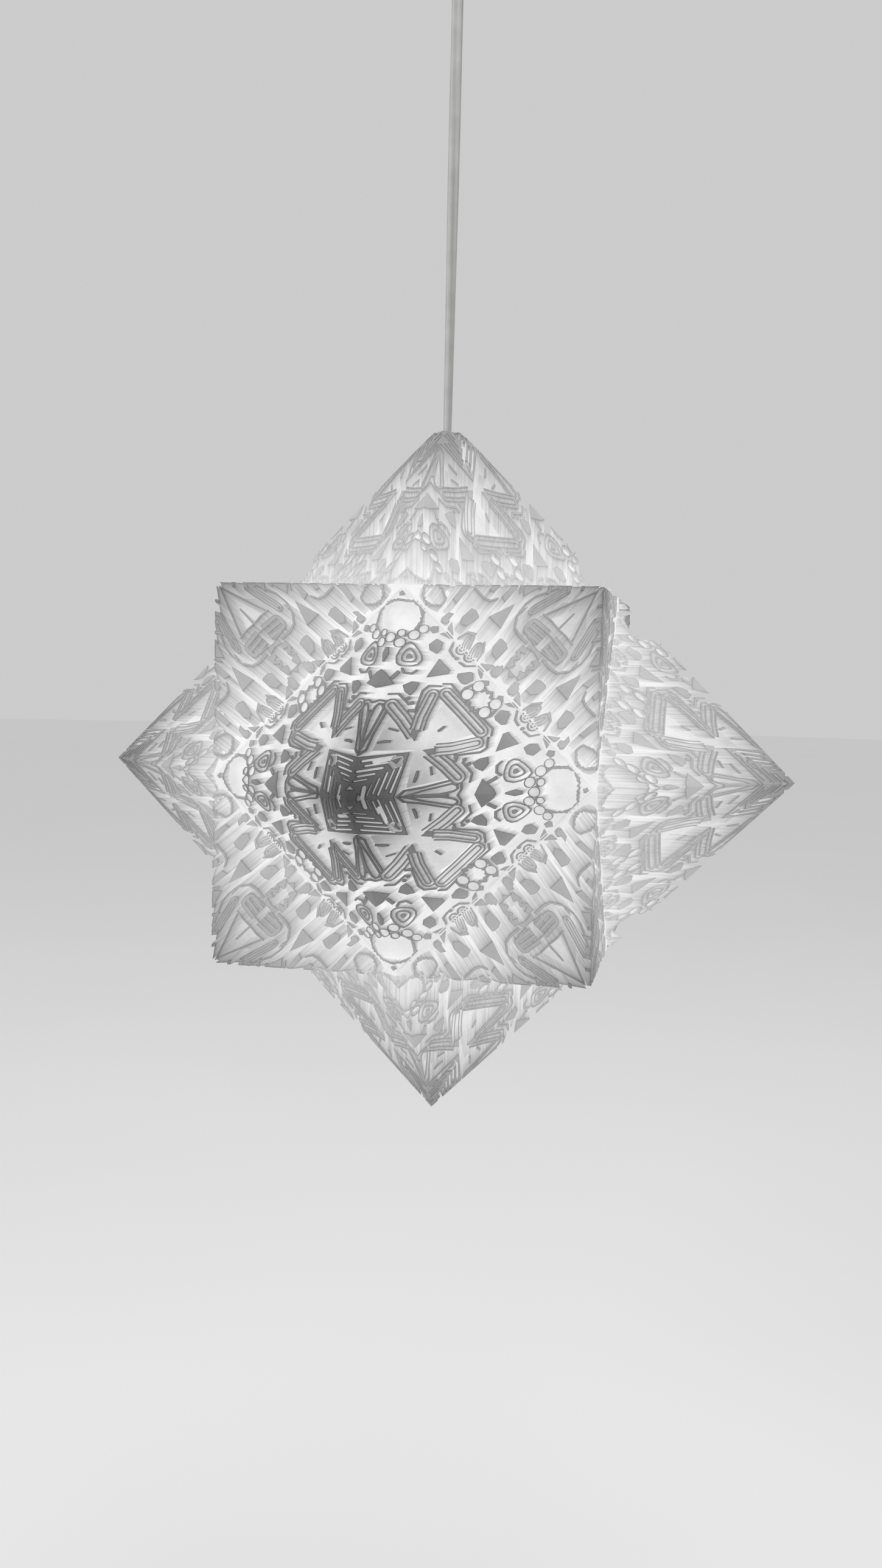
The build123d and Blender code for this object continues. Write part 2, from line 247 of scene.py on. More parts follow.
cord_bm = bmesh.new()
section = [cord_bm.verts.new(point + route_line[0]) for point in twin_outline(cord_width, cord_thickness)]
loop = [cord_bm.edges.new((section[i - 1], section[i])) for i in range(len(section))]
bmesh.ops.contextual_create(cord_bm, geom=loop)
quarter_turn = radians(90)
step_turn = quarter_turn / (len(route_line) - 1)
first_turn = Matrix.Rotation(quarter_turn, 3, "Z")
bmesh.ops.rotate(cord_bm, verts=cord_bm.verts[:], cent=cord_exit, matrix=first_turn)
for here, there in zip(route_line, route_line[1:]):
    grown = bmesh.ops.extrude_edge_only(cord_bm, edges=loop)["geom"]
    ring = [item for item in grown if isinstance(item, bmesh.types.BMVert)]
    loop = [item for item in grown if isinstance(item, bmesh.types.BMEdge)]
    bmesh.ops.translate(cord_bm, verts=ring, vec=there - here)
    bmesh.ops.rotate(cord_bm, verts=ring, cent=there, matrix=Matrix.Rotation(-step_turn, 3, "Z"))
bmesh.ops.contextual_create(cord_bm, geom=loop)
bmesh.ops.recalc_face_normals(cord_bm, faces=cord_bm.faces)
for face in cord_bm.faces:
    face.smooth = len(face.verts) == 4
cord_piece = new_piece("cord_sheath", cord_bm, "cord")
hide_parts("cord")
print("cord sheath:", len(cord_piece.data.polygons), "faces")

print("the cord is declared from", [round(v, 3) for v in cord_exit], "up to the ceiling fitting")

# %% [markdown]
# ## Relief: one flat drawing, carved in terraces
# Seen along its own axis, a point of the star is a flat drawing: every peg, fin and window keeps its
# outline all the way down. So each point starts as outlines on a flat sheet. They could be cut with
# booleans, one by one, but hundreds of them would be slow and fragile. Instead one triangulation that
# respects all outlines at once splits the sheet into faces, and each face takes the level of the last
# outline that was painted over it, as on a painter's canvas.
#
# The sheet is then carved in terraces: everything below a level is extruded down one step, then
# everything below the next. The walls of all steps share their edges, so the result has no gaps.
#
# There are six levels, in millimetres below the pyramid's surface: flat caps; domes and slots just
# under them; bands between fins; smooth panels half way down; the floor; and the windows in it.

# %% Levels and outlines
cap_level, dome_level, band_level = 0.0, -0.8, -2.4
panel_level, floor_level, window_level = -9.0, -24.0, -25.0
levels = (cap_level, dome_level, band_level, panel_level, floor_level, window_level)
sharpest_mitre = 0.4


def across(direction):
    """The left-hand neighbour of a direction in the drawing."""
    return Vector((-direction.y, direction.x))


def strip(path, half, round_start=False, round_end=True, steps=6):
    """Outline of a bar of a half width along a path of points, with round or square ends."""
    points = [Vector(point) for point in path]
    runs = [(b - a).normalized() for a, b in zip(points, points[1:])]
    left, right = [], []
    for index, point in enumerate(points):
        before = across(runs[max(index - 1, 0)])
        after = across(runs[min(index, len(runs) - 1)])
        mitre = (before + after).normalized()
        mitre *= half / max(sharpest_mitre, mitre.dot(before))
        left.append(point + mitre)
        right.append(point - mitre)
    outline = right[:]
    if round_end:
        outline += fan(points[-1], -across(runs[-1]) * half, steps)
    outline += left[::-1]
    if round_start:
        outline += fan(points[0], across(runs[0]) * half, steps)
    return outline


def fan(centre, spoke, steps):
    """The inner points of a half turn round a centre, from a spoke on."""
    return [centre + Matrix.Rotation(pi * step / steps, 2) @ spoke for step in range(1, steps)]


print("a short bar has", len(strip([(0, 0), (4, 0)], 1.0)), "corners")


# %% Round and toothed outlines
def blob(centre, radius, corners=10, teeth=0.0):
    """A round outline; teeth pulls every second corner inwards."""
    outline = []
    for corner in range(corners):
        reach = radius - teeth * (corner % 2)
        angle = 2 * pi * corner / corners
        outline.append(Vector(centre) + Vector((reach * cos(angle), reach * sin(angle))))
    return outline


def saw(outline, pitch, depth):
    """The same outline with a saw tooth every pitch along its sides."""
    toothed = []
    for a, b in zip(outline, outline[1:] + outline[:1]):
        count = max(1, round((b - a).length / pitch))
        outwards = -across((b - a).normalized()) * depth
        for tooth in range(count):
            uneven = 0.7 + 0.5 * sin(5.3 * len(toothed) + 2.0 * tooth)
            toothed.append(a.lerp(b, tooth / count))
            toothed.append(a.lerp(b, (tooth + 0.35 + 0.2 * uneven) / count) + outwards * uneven)
    return toothed


print("a stud has", len(blob((0, 0), 2.0)), "corners")


# %% [markdown]
# A drawing keeps its outlines in painting order, and each is copied by the point's symmetry: a
# four-sided point repeats its drawing eight times (four turns, each with its mirror image) and a
# three-sided one six times. An outline that is its own mirror image is only turned.

# %% A drawing with its symmetry
class Drawing:
    """Outlines for one kind of point, in millimetres, copied round its axis."""

    def __init__(self, sides, radius, first_turn):
        self.sides = sides
        self.radius = radius
        self.inner_radius = radius * cos(pi / sides)
        self.first_turn = first_turn
        self.outlines = []

    def paint(self, level, outline, mirrored=True, turns=None):
        """Paint an outline at a level; x runs across the mirror line and y along it, outwards."""
        for turn_number in range(self.sides) if turns is None else turns:
            angle = self.first_turn + 2 * pi * turn_number / self.sides - pi / 2
            for flip in (1, -1) if mirrored else (1,):
                shape = [Matrix.Rotation(angle, 2) @ Vector((flip * x, y)) for x, y in outline]
                if signed_area(shape) < 0:
                    shape.reverse()
                self.outlines.append((level, shape))

    def bar(self, level, path, half, mirrored=True, turns=None, **ends):
        """Paint a bar of a half width along a path."""
        self.paint(level, strip(path, half, **ends), mirrored, turns)

    def nest(self, path, halves, groove=band_level):
        """Fins that nest inside each other: bars ever narrower, cap and groove in turn."""
        for index, half in enumerate(halves):
            self.bar(groove if index % 2 else cap_level, path, half)

    def rings(self, outline, insets):
        """Closed fins inside each other: the outline shrunk about its middle, cap and floor in turn."""
        middle = sum((Vector(p) for p in outline), Vector((0, 0))) / len(outline)
        reach = min((Vector(p) - middle).length for p in outline)
        for index, inset in enumerate(insets):
            shrunk = [middle + (Vector(p) - middle) * (1 - inset / reach) for p in outline]
            self.paint(floor_level if index % 2 else cap_level, shrunk)

    def side_distance(self, x, y):
        """Distance from the axis towards the nearest side."""
        spokes = (pi / self.sides + 2 * pi * k / self.sides for k in range(self.sides))
        return max(x * cos(a) + y * sin(a) for a in spokes)

    def base(self, scale=1.0):
        """The polygon that the point stands on, or a smaller one like it."""
        spokes = (2 * pi * k / self.sides for k in range(self.sides))
        return [Vector((cos(a), sin(a))) * self.radius * scale for a in spokes]


def signed_area(shape):
    """Area of an outline, below zero where its points run clockwise."""
    return sum(a.x * b.y - b.x * a.y for a, b in zip(shape, shape[1:] + shape[:1])) / 2


print("a drawing of four sides is", round(2 * Drawing(4, half_cube, 0.0).inner_radius, 1), "mm across")


# %% [markdown]
# The drawing becomes a shell. After the terraces are carved in the flat sheet, every vertex is lifted
# by the height of the smooth pyramid above it, so caps stay parallel to the point's facets. Nothing
# goes below the point's base, so the fourteen points meet on clean edges. The outer edge is then
# extruded down to the rim, in to the shell's inner side, and up to the apex, which closes the shell.
#
# Each vertex also remembers where it is along the drawing, in the attribute "drawing": across, across
# and depth. "lit" holds how much of the lamp's light comes through there: thick pegs stay dark, thin
# floors are bright, and walls fade from one to the other.

# %% Beside and inside an outline
steepness = sqrt(2)      # rise of every facet for each step away from the axis
edge_line = 0.32         # width of the line that is kept along each outline
shortest_turn = 0.2
bluntest_corner = 0.5


def beside(outline, distance):
    """The outline again, moved inwards by a distance, with its sharp corners kept short."""
    moved = []
    for before, here, after in zip(outline[-1:] + outline[:-1], outline, outline[1:] + outline[:1]):
        first = across((here - before).normalized())
        second = across((after - here).normalized())
        inwards = first + second
        if inwards.length < shortest_turn:
            moved.append(here + first * distance)
        else:
            inwards.normalize()
            moved.append(here + inwards * distance / max(bluntest_corner, inwards.dot(first)))
    return moved


def inside(outline, x, y):
    """Whether a place lies inside an outline: a ray from it crosses the outline an odd number of times."""
    crossed = False
    for a, b in zip(outline, outline[1:] + outline[:1]):
        if (a.y > y) != (b.y > y) and x < a.x + (b.x - a.x) * (y - a.y) / (b.y - a.y):
            crossed = not crossed
    return crossed


print("edge lines are", edge_line, "mm wide")


# %% [markdown]
# The triangulation takes all outlines, a second line beside each of them, the ridges of the pyramid
# and the polygons at which a level reaches the base. Each triangle then asks which outline was painted
# over its middle last. A hole for the cord is one more outline, above all levels: nothing is made in it.

# %% Splitting the sheet
open_level = 1.0
hole_corners = 24
merge_distance = 0.006


def split_sheet(drawing, hole):
    """The flat sheet as bmesh triangles, each with its level, split along every outline."""
    points, edges, reach = [], [], []

    def add(outline, closed=True):
        first = len(points)
        points.extend(outline)
        numbers = list(range(first, len(points)))
        edges.extend(zip(numbers, numbers[1:] + numbers[:1] if closed else numbers[1:]))

    outlines = list(drawing.outlines)
    if hole:
        outlines.append((open_level, blob((0, 0), hole, hole_corners)))
    add(drawing.base())
    for level, outline in outlines:
        add(outline)
        add(beside(outline, edge_line if level == cap_level else -edge_line))
        across_it = [point.x for point in outline]
        along_it = [point.y for point in outline]
        reach.append((min(across_it), max(across_it), min(along_it), max(along_it), level, outline))
    for corner in drawing.base():
        add([Vector((0, 0)), corner], closed=False)
    for level in levels[2:]:
        add(drawing.base(1 + level / steepness / drawing.inner_radius))
    flat, _, parts, _, _, _ = delaunay_2d_cdt(points, edges, [], 0, merge_distance)
    sheet = bmesh.new()
    level_of = sheet.faces.layers.float.new("level")
    corners = [sheet.verts.new((point.x, point.y, 0)) for point in flat]
    reach.reverse()
    for part in parts:
        x = sum(flat[number].x for number in part) / len(part)
        y = sum(flat[number].y for number in part) / len(part)
        if drawing.side_distance(x, y) > drawing.inner_radius:
            continue
        level = floor_level
        for left, right, low, high, painted, outline in reach:
            if left < x < right and low < y < high and inside(outline, x, y):
                level = painted
                break
        if level <= cap_level:
            sheet.faces.new([corners[number] for number in part])[level_of] = level
    bmesh.ops.delete(sheet, geom=[v for v in sheet.verts if not v.link_faces], context="VERTS")
    sheet.normal_update()
    return sheet, level_of


print("outlines closer than", merge_distance, "mm share their points")


# %% Carving and lifting
def carve(sheet, level_of):
    """Lower the sheet in terraces, from the top level down."""
    for upper, lower in zip(levels, levels[1:]):
        sunk = [face for face in sheet.faces if face[level_of] < upper and abs(face.normal.z) > 0.5]
        if not sunk:
            break
        lowered = bmesh.ops.extrude_face_region(sheet, geom=sunk)["geom"]
        bmesh.ops.delete(sheet, geom=sunk, context="FACES")
        moved = [item for item in lowered if isinstance(item, bmesh.types.BMVert)]
        bmesh.ops.translate(sheet, verts=moved, vec=(0, 0, lower - upper))
        sheet.normal_update()


def lift_sheet(sheet, drawing, blunt):
    """Stand the carved sheet up as a pyramid, and note each vertex's place in the drawing."""
    place = sheet.verts.layers.float_vector.new("drawing")
    top = steepness * drawing.inner_radius
    for vertex in sheet.verts:
        x, y, level = vertex.co
        smooth_height = top - steepness * drawing.side_distance(x, y)
        height = max(0.0, min(smooth_height + level, top - blunt))
        vertex.co.z = height
        vertex[place] = (x, y, height - smooth_height)
    bmesh.ops.remove_doubles(sheet, verts=sheet.verts, dist=1e-4)
    bmesh.ops.dissolve_degenerate(sheet, edges=sheet.edges, dist=1e-4)


print("levels to carve:", levels)

# %% Closing the shell
shell_under_floor = 2.2
rim_thickness = 1.5


def grow(sheet, edges, scale, drop):
    """Extrude a loop of edges, draw it in towards the axis and lower it."""
    grown = bmesh.ops.extrude_edge_only(sheet, edges=edges)["geom"]
    ring = [item for item in grown if isinstance(item, bmesh.types.BMVert)]
    bmesh.ops.scale(sheet, verts=ring, vec=(scale, scale, 1.0))
    bmesh.ops.translate(sheet, verts=ring, vec=(0, 0, -drop))
    return ring, [item for item in grown if isinstance(item, bmesh.types.BMEdge)]


def close_shell(sheet, drawing, base_height, hole):
    """Rim, inner side and apex; or the walls of the cord's hole in place of the apex."""
    top = steepness * drawing.inner_radius
    open_edges = [edge for edge in sheet.edges if edge.is_boundary]
    bore = [e for e in open_edges if hole and all(v.co.xy.length < hole + 0.1 for v in e.verts)]
    rim = [edge for edge in open_edges if edge not in bore]
    mitre = 1 - rim_thickness / base_height
    _, rim = grow(sheet, rim, mitre, rim_thickness)
    inner_drop = -floor_level + shell_under_floor
    inner_scale = (top - inner_drop + rim_thickness) / top / mitre
    ring, rim = grow(sheet, rim, inner_scale, 0.0)
    if not bore:
        ring, _ = grow(sheet, rim, 1.0, 0.0)
        bmesh.ops.pointmerge(sheet, verts=ring, merge_co=(0, 0, top - inner_drop))
        return
    ring, bore = grow(sheet, bore, 1.0, 0.0)
    for vertex in ring:
        vertex.co.z = top - inner_drop - steepness * drawing.side_distance(*vertex.co.xy)
    bmesh.ops.bridge_loops(sheet, edges=bore + rim)


print("the shell is at least", shell_under_floor, "mm deep under its floor")


# %% [markdown]
# How much light comes through is a drawing of its own. The tones below are how bright a level looks at
# some distances from the axis; between them the tone slides. They are written as the eye sees them and
# turned to linear light where they are stored. The row "edge" is painted shade: it darkens the line
# along a cap's edge and the top of each wall.

# %% How bright each level looks
def slide(stops, at):
    """Value between listed stops (place, value)."""
    if at <= stops[0][0]:
        return stops[0][1]
    for (low, first), (high, second) in zip(stops, stops[1:]):
        if at <= high:
            return first + (second - first) * (at - low) / (high - low)
    return stops[-1][1]


four_sided_tones = {
    cap_level: ((0, 0.28), (12, 0.38), (26, 0.50), (40, 0.54), (55, 0.60), (70, 0.72)),
    dome_level: ((0, 0.58), (8, 0.72), (16, 0.90), (50, 0.95), (70, 0.97)),
    band_level: ((0, 0.34), (12, 0.50), (22, 0.74), (32, 0.86), (55, 0.94), (70, 0.96)),
    panel_level: ((0, 0.46), (12, 0.58), (19.6, 0.67), (25, 0.82), (32, 0.93), (70, 0.97)),
    floor_level: ((0, 0.70), (15, 0.90), (30, 0.97), (45, 0.99), (70, 1.0)),
    "edge": ((0, 0.35), (26, 0.50), (40, 0.66), (70, 0.84)),
}
three_sided_tones = {
    cap_level: ((0, 0.50), (8, 0.64), (20, 0.73), (41, 0.78)),
    dome_level: ((0, 0.60), (20, 0.90), (41, 0.93)),
    band_level: ((0, 0.62), (8, 0.80), (20, 0.88), (41, 0.91)),
    panel_level: ((0, 0.72), (8, 0.89), (14, 0.96), (41, 0.98)),
    floor_level: ((0, 0.84), (10, 0.95), (20, 0.99), (41, 1.0)),
    "edge": ((0, 0.75), (41, 0.88)),
}
wall_mix = {cap_level: 0.0, dome_level: 0.1, band_level: 0.35, panel_level: 0.7, floor_level: 1.0}
wall_slide = sorted(wall_mix.items())
print("a panel's tones:", four_sided_tones[panel_level])

# %% Storing the light
inner_tone = 0.95
screen_gamma = 2.2
wall_limit = 0.3


def shade_shell(sheet, level_of, drawing, tones):
    """Store how much light each corner of each face lets through."""
    lit = sheet.loops.layers.float.new("lit")
    side = sheet.loops.layers.float.new("side")
    place = sheet.verts.layers.float_vector["drawing"]
    sheet.normal_update()
    on_wall = {v for face in sheet.faces if abs(face.normal.z) < wall_limit for v in face.verts}
    for face in sheet.faces:
        level = max(floor_level, min(wall_mix, key=lambda t: abs(t - face[level_of])))
        for loop in face.loops:
            x, y, depth = loop.vert[place]
            far = drawing.side_distance(x, y)
            if face.normal.z > wall_limit:
                tone = slide(tones[level], far)
                # Painted shade: a cap's corner beside a wall gets the dark edge line.
                if level == cap_level and loop.vert in on_wall:
                    tone *= slide(tones["edge"], far)
            elif face.normal.z > -wall_limit:
                share = slide(wall_slide, depth)
                shadow = slide(tones[cap_level], far)
                tone = shadow + (slide(tones[floor_level], far) - shadow) * share
                # Painted shade: the top of a wall is darkened like a cap's edge line.
                if share < 0.01:
                    tone *= slide(tones["edge"], far)
                loop[side] = 1.0
            else:
                tone = inner_tone
            loop[lit] = tone**screen_gamma


print("tones are stored to the power of", screen_gamma)


# %% Build a shell
def carved_shell(name, drawing, tones, base_height, blunt=0.0, hole=0.0):
    """A closed, carved shell that stands on its crease polygon, in millimetres, as a mesh to copy."""
    sheet, level_of = split_sheet(drawing, hole)
    carve(sheet, level_of)
    lift_sheet(sheet, drawing, blunt)
    close_shell(sheet, drawing, base_height, hole)
    bmesh.ops.recalc_face_normals(sheet, faces=sheet.faces)
    shade_shell(sheet, level_of, drawing, tones)
    shell = bpy.data.meshes.new(name)
    sheet.to_mesh(shell)
    sheet.free()
    triangles = sum(len(face.vertices) - 2 for face in shell.polygons)
    print(name, "has", triangles, "triangles, lowest", round(min(v.co.z for v in shell.vertices), 2))
    return shell


print("helper ready: carved_shell")


# %% Place a point of the star
def star_point(name, shell, axis, spoke, height, body, painted_light_power=1.0):
    """A copy of a shell, with its base at a height above the star's centre, looking along axis.

    clearer is a power below one that paints more light into the thick parts of a point.
    """
    axis = Vector(axis).normalized()
    spoke = Vector(spoke).normalized()
    stand = Matrix((spoke, axis.cross(spoke), axis)).transposed().to_4x4()
    place = Matrix.Translation(star_centre) @ Matrix.Scale(mm, 4) @ Matrix.Translation(axis * height) @ stand
    copy = bmesh.new()
    copy.from_mesh(shell)
    bmesh.ops.transform(copy, matrix=place, verts=copy.verts)
    lit = copy.loops.layers.float["lit"]
    for face in copy.faces:
        for loop in face.loops:
            # Painted light: this copy's thick parts are shown brighter.
            loop[lit] **= painted_light_power
    piece = new_piece(name, copy, body, lit_paper)
    return piece


print("helper ready: star_point")


# %% [markdown]
# ## Finish: lit paper
# The shell is white, but it is seen by the light that comes through it. The share of light stored in
# "lit" goes into both the colour and the glow, about one third and two thirds, so the star is as bright
# as written under a plain lamp and keeps its glow in the dark. Fine streaks run down the walls, as
# the layers of a cut block show on its sides: their noise reads only the two numbers across the
# drawing, so it can't change along the axis. A faint grain lies on the caps.

# %% Lit paper
lit_paper, shader = new_finish("lit_paper")
lit = add_node(lit_paper, "ShaderNodeAttribute", attribute_name="lit")
drawn = add_node(lit_paper, "ShaderNodeAttribute", attribute_name="drawing")
flat_place = add_node(lit_paper, "ShaderNodeVectorMath", operation="MULTIPLY")
link(lit_paper, drawn.outputs["Vector"], flat_place.inputs[0])
flat_place.inputs[1].default_value = (1.0, 1.0, 0.0)
streaks = add_node(lit_paper, "ShaderNodeTexNoise", Scale=0.8, Detail=4.0, Roughness=0.7)
link(lit_paper, flat_place.outputs["Vector"], streaks.inputs["Vector"])
cloud = add_node(lit_paper, "ShaderNodeTexNoise", Scale=0.09, Detail=2.0)
link(lit_paper, drawn.outputs["Vector"], cloud.inputs["Vector"])
grain = add_node(lit_paper, "ShaderNodeTexNoise", Scale=6.0, Detail=2.0)
link(lit_paper, drawn.outputs["Vector"], grain.inputs["Vector"])
on_side = add_node(lit_paper, "ShaderNodeAttribute", attribute_name="side")
side_tone = ramp(lit_paper, streaks.outputs["Fac"], [(0.30, 0.74), (0.50, 1.0), (0.72, 1.16)])
top_tone = ramp(lit_paper, streaks.outputs["Fac"], [(0.30, 0.94), (0.70, 1.03)])
cloud_tone = ramp(lit_paper, cloud.outputs["Fac"], [(0.3, 0.92), (0.7, 1.06)])
grain_tone = ramp(lit_paper, grain.outputs["Fac"], [(0.3, 0.95), (0.7, 1.04)])
streak_tone = add_node(lit_paper, "ShaderNodeMix", data_type="FLOAT")
link(lit_paper, on_side.outputs["Fac"], streak_tone.inputs[0])
link(lit_paper, top_tone, streak_tone.inputs[2])
link(lit_paper, side_tone, streak_tone.inputs[3])
share = math(lit_paper, "MULTIPLY", lit.outputs["Fac"], streak_tone.outputs[0])
share = math(lit_paper, "MULTIPLY", share, cloud_tone)
share = math(lit_paper, "MULTIPLY", share, grain_tone)
share = math(lit_paper, "MINIMUM", share, 0.97)
colour = add_node(lit_paper, "ShaderNodeCombineColor")
glow = add_node(lit_paper, "ShaderNodeCombineColor")
colour_share = math(lit_paper, "MULTIPLY", share, 0.35)
glow_share = math(lit_paper, "MULTIPLY", share, 0.65)
for channel in ("Red", "Green", "Blue"):
    link(lit_paper, colour_share, colour.inputs[channel])
    link(lit_paper, glow_share, glow.inputs[channel])
link(lit_paper, colour.outputs["Color"], shader.inputs["Base Color"])
link(lit_paper, glow.outputs["Color"], shader.inputs["Emission Color"])
shader.inputs["Emission Strength"].default_value = 1.0
shader.inputs["Roughness"].default_value = 0.6
shader.inputs["Specular IOR Level"].default_value = 0.12
relief = add_node(lit_paper, "ShaderNodeBump", Strength=0.25, Distance=0.0002)
link(lit_paper, streaks.outputs["Fac"], relief.inputs["Height"])
link(lit_paper, relief.outputs["Normal"], shader.inputs["Normal"])
print("lit paper has", len(lit_paper.node_tree.nodes), "nodes")


# %% [markdown]
# ## Drawing of a four-sided point
# The drawing goes from the tip outwards. x runs across a ridge and y along it, in millimetres from the
# axis. Around the tip lies a square of nested chevrons; a tongue and groups of hairpins fan out from
# it, with smooth bright panels between them. The square has rows of slots, a few wide ones that differ
# from side to side, a faceted piece in each corner and a small raised square in the middle.

# %% Four-sided point: the square at the tip
four = Drawing(4, half_cube, 0.0)


def turned_square(half, dip):
    """A square across the ridges whose sides dip towards the axis at each ridge."""
    quarter = [Vector((0, half - dip)), Vector((half, half))]
    return [Matrix.Rotation(-pi / 2 * k, 2) @ point for k in range(4) for point in quarter]


four.paint(cap_level, turned_square(19.2, 1.9), mirrored=False, turns=(0,))
slots = (
    (15.3, 2.2, 14.2, 0.52),
    (13.1, 3.6, 11.6, 0.42),
    (11.0, 1.2, 10.4, 0.50),
    (8.9, 1.8, 8.0, 0.42),
    (7.0, 1.0, 5.6, 0.3),
)
for low, start, reach, half in slots:
    four.bar(dome_level, [(start, low + 0.1 * start), (reach, low + 0.15 * reach)], half, round_start=True)
wide_slots = ((10.4, 5.0, 12.6), (14.6, 6.6, 13.0), (12.5, 2.0, 7.4), (8.4, 3.0, 8.8))
for quarter, (low, start, reach) in enumerate(wide_slots):
    places = [(start, low + 0.1 * start), (reach, low + 0.15 * reach)]
    four.bar(dome_level, places, 0.9, round_start=True, mirrored=False, turns=(quarter,))
corner_piece = [(11.8, 14.4), (13.0, 17.4), (16.9, 17.6), (17.6, 16.9), (17.4, 13.0), (14.4, 11.8)]
four.paint(band_level, corner_piece, mirrored=False)
four.paint(cap_level, [(12.6, 15.6), (16.4, 16.9), (15.2, 14.2), (14.2, 15.0)], mirrored=False)
four.bar(floor_level, [(13.0, 12.4), (15.8, 15.2)], 0.5, round_start=True, mirrored=False, turns=(0, 2))
four.paint(panel_level, [(-5.6, 0), (0, -5.6), (5.6, 0), (0, 5.6)], mirrored=False, turns=(0,))
four.bar(dome_level, [(-4.4, 5.4), (4.6, 5.9)], 0.9, round_start=True, mirrored=False, turns=(0, 2))
four.paint(cap_level, [(-3.6, -3.6), (3.6, -3.6), (3.6, 3.6), (-3.6, 3.6)], mirrored=False, turns=(0,))
print("outlines of the square:", len(four.outlines))

# %% [markdown]
# The panels are smooth, half way down, with a few short fins on them. On each ridge a petal stands
# between two panels: it is a V of caps round a slit, painted from its outline inwards.

# %% Four-sided point: smooth panels and petals
side_panel = [(3.2, 19.6), (6.4, 34.0), (7.4, 34.4), (20, 24.2), (19.6, 19.6)]
corner_panel = [(20, 24.2), (26.5, 41), (30, 38.5), (38.5, 30), (41, 26.5), (24.2, 20), (19.6, 19.6)]
four.paint(panel_level, side_panel)
four.paint(panel_level, corner_panel, mirrored=False)
four.paint(cap_level, [(6.0, 23.0), (11.0, 23.5), (10.9, 24.5), (8.4, 24.6), (5.9, 24.0)])
four.paint(cap_level, [(8.8, 29.4), (12.6, 28.2), (12.9, 29.0), (9.0, 30.2)])
four.bar(cap_level, [(28.4, 28.4), (30.4, 30.4)], 0.55, mirrored=False)
petal = (
    [(0, 17.8), (2.8, 20), (4.0, 27), (6.3, 35.5), (7.0, 39.2), (5.6, 42.4), (2.6, 43), (0, 42)],
    [(0, 19.2), (2.2, 20.8), (3.2, 27.2), (5.5, 35.7), (6.2, 39), (5.0, 41.7), (2.6, 42.2), (0, 41)],
    [(0, 18.8), (2.5, 27), (4.4, 34.5), (5.4, 38.6), (4.5, 41.0), (2.7, 41.4), (1.3, 39.8), (0.5, 37)],
    [(0.5, 24), (1.9, 27.5), (3.7, 34.8), (4.6, 38.7), (3.9, 40.2), (2.9, 40.6), (2, 39.2), (1, 34.5)],
    [(0, 20.2), (0.75, 28), (1.0, 36), (0.4, 38.0), (0, 38.2)],
)
for index, outline in enumerate(petal):
    four.paint(panel_level if index % 2 else cap_level, outline)
print("outlines so far:", len(four.outlines))

# %% [markdown]
# Hairpins are bars with a round end, nested four deep. Two arms meet in a V beside each tongue, and a
# third one lies across the diagonal.

# %% Four-sided point: hairpins
hairpin = (3.0, 2.5, 1.4, 0.9)
web = [(20, 24), (20.8, 28.5), (21.5, 32.5), (19.0, 36), (17.0, 38.5), (14.6, 38.5), (14.0, 32)]
web_band = [(19.4, 26.4), (19.8, 28.5), (20.6, 32.5), (18.3, 35.6), (16.6, 37.6), (15.2, 37.6), (14.8, 32)]
four.paint(cap_level, web)
four.paint(band_level, web_band)
four.nest([(19.4, 26.6), (13.2, 34.4), (7.6, 40.4)], hairpin)
four.nest([(19.9, 29.0), (20.4, 35), (22.9, 45.2)], (2.9, 2.4, 1.35, 0.85))
four.bar(cap_level, [(14.6, 40.6), (9.4, 45.6), (5.6, 45.4)], 0.45)
four.bar(cap_level, [(17.4, 37.6), (18.6, 47.2), (20.6, 49.6), (25.4, 49.4)], 0.45)
four.paint(cap_level, [(18.0, 26.2), (20.2, 24.6), (20.9, 28.8), (18.0, 29.4)])
four.nest([(37.2, 37.2), (28.2, 46.0)], hairpin)
four.bar(cap_level, [(37.4, 42.2), (29.6, 50.6), (26.4, 50.6)], 0.45)
for bump in ((15.5, 41.4), (16.6, 37.8), (13.6, 43.6)):
    four.paint(cap_level, blob(bump, 0.9, 7))
print("with the hairpins:", len(four.outlines))

# %% [markdown]
# Outside the hairpins the sheet falls to its floor, and single pegs stand on it. Their outlines are
# irregular, five- or six-sided, and no two kinds are alike.

# %% Four-sided point: pegs
pegs = (
    [(13.9, 44.9), (15.8, 47.4), (16.6, 51.0), (13.4, 51.6), (10.1, 49.7), (11.6, 46.6)],
    [(35.2, 50.4), (38.4, 52.6), (37.8, 56.0), (36.4, 56.8), (31.4, 55.8), (31.3, 54.0), (33.6, 51.0)],
    [(18.8, 53.6), (27.2, 55.4), (28.0, 57.3), (22.3, 62.8)],
    [(20.6, 65.2), (22.3, 67.3), (22.3, 71.0), (19.3, 72.7), (16.7, 69.8), (17.5, 67.0)],
    [(17.0, 75.4), (19.2, 76.2), (18.8, 79.2), (16.4, 79.0), (15.6, 77.6)],
    [(43.0, 49.4), (45.4, 50.4), (45.2, 52.6), (42.0, 52.8), (41.3, 50.8)],
    [(41.5, 53.4), (42.2, 57.3), (39.2, 60.2), (40.0, 56.0)],
    [(26.4, 73.2), (23.0, 76.6), (20.0, 75.2), (24.8, 73.0)],
    [(4.4, 53.4), (5.6, 52.2), (8.0, 55.6), (6.6, 56.6)],
)
for peg in pegs:
    four.paint(cap_level, peg)
ridge_peg = [(-6.8, 50.2), (0, 48.2), (6.8, 50.2), (2.2, 55.6), (0, 57), (-2.2, 55.6)]
four.paint(cap_level, ridge_peg, mirrored=False)
thin_peg = [(-0.4, 60.6), (0.4, 60.6), (1.6, 64.6), (0.8, 67.8), (-0.8, 67.8), (-1.6, 64.6)]
four.paint(cap_level, thin_peg, mirrored=False)
print("with the pegs:", len(four.outlines))

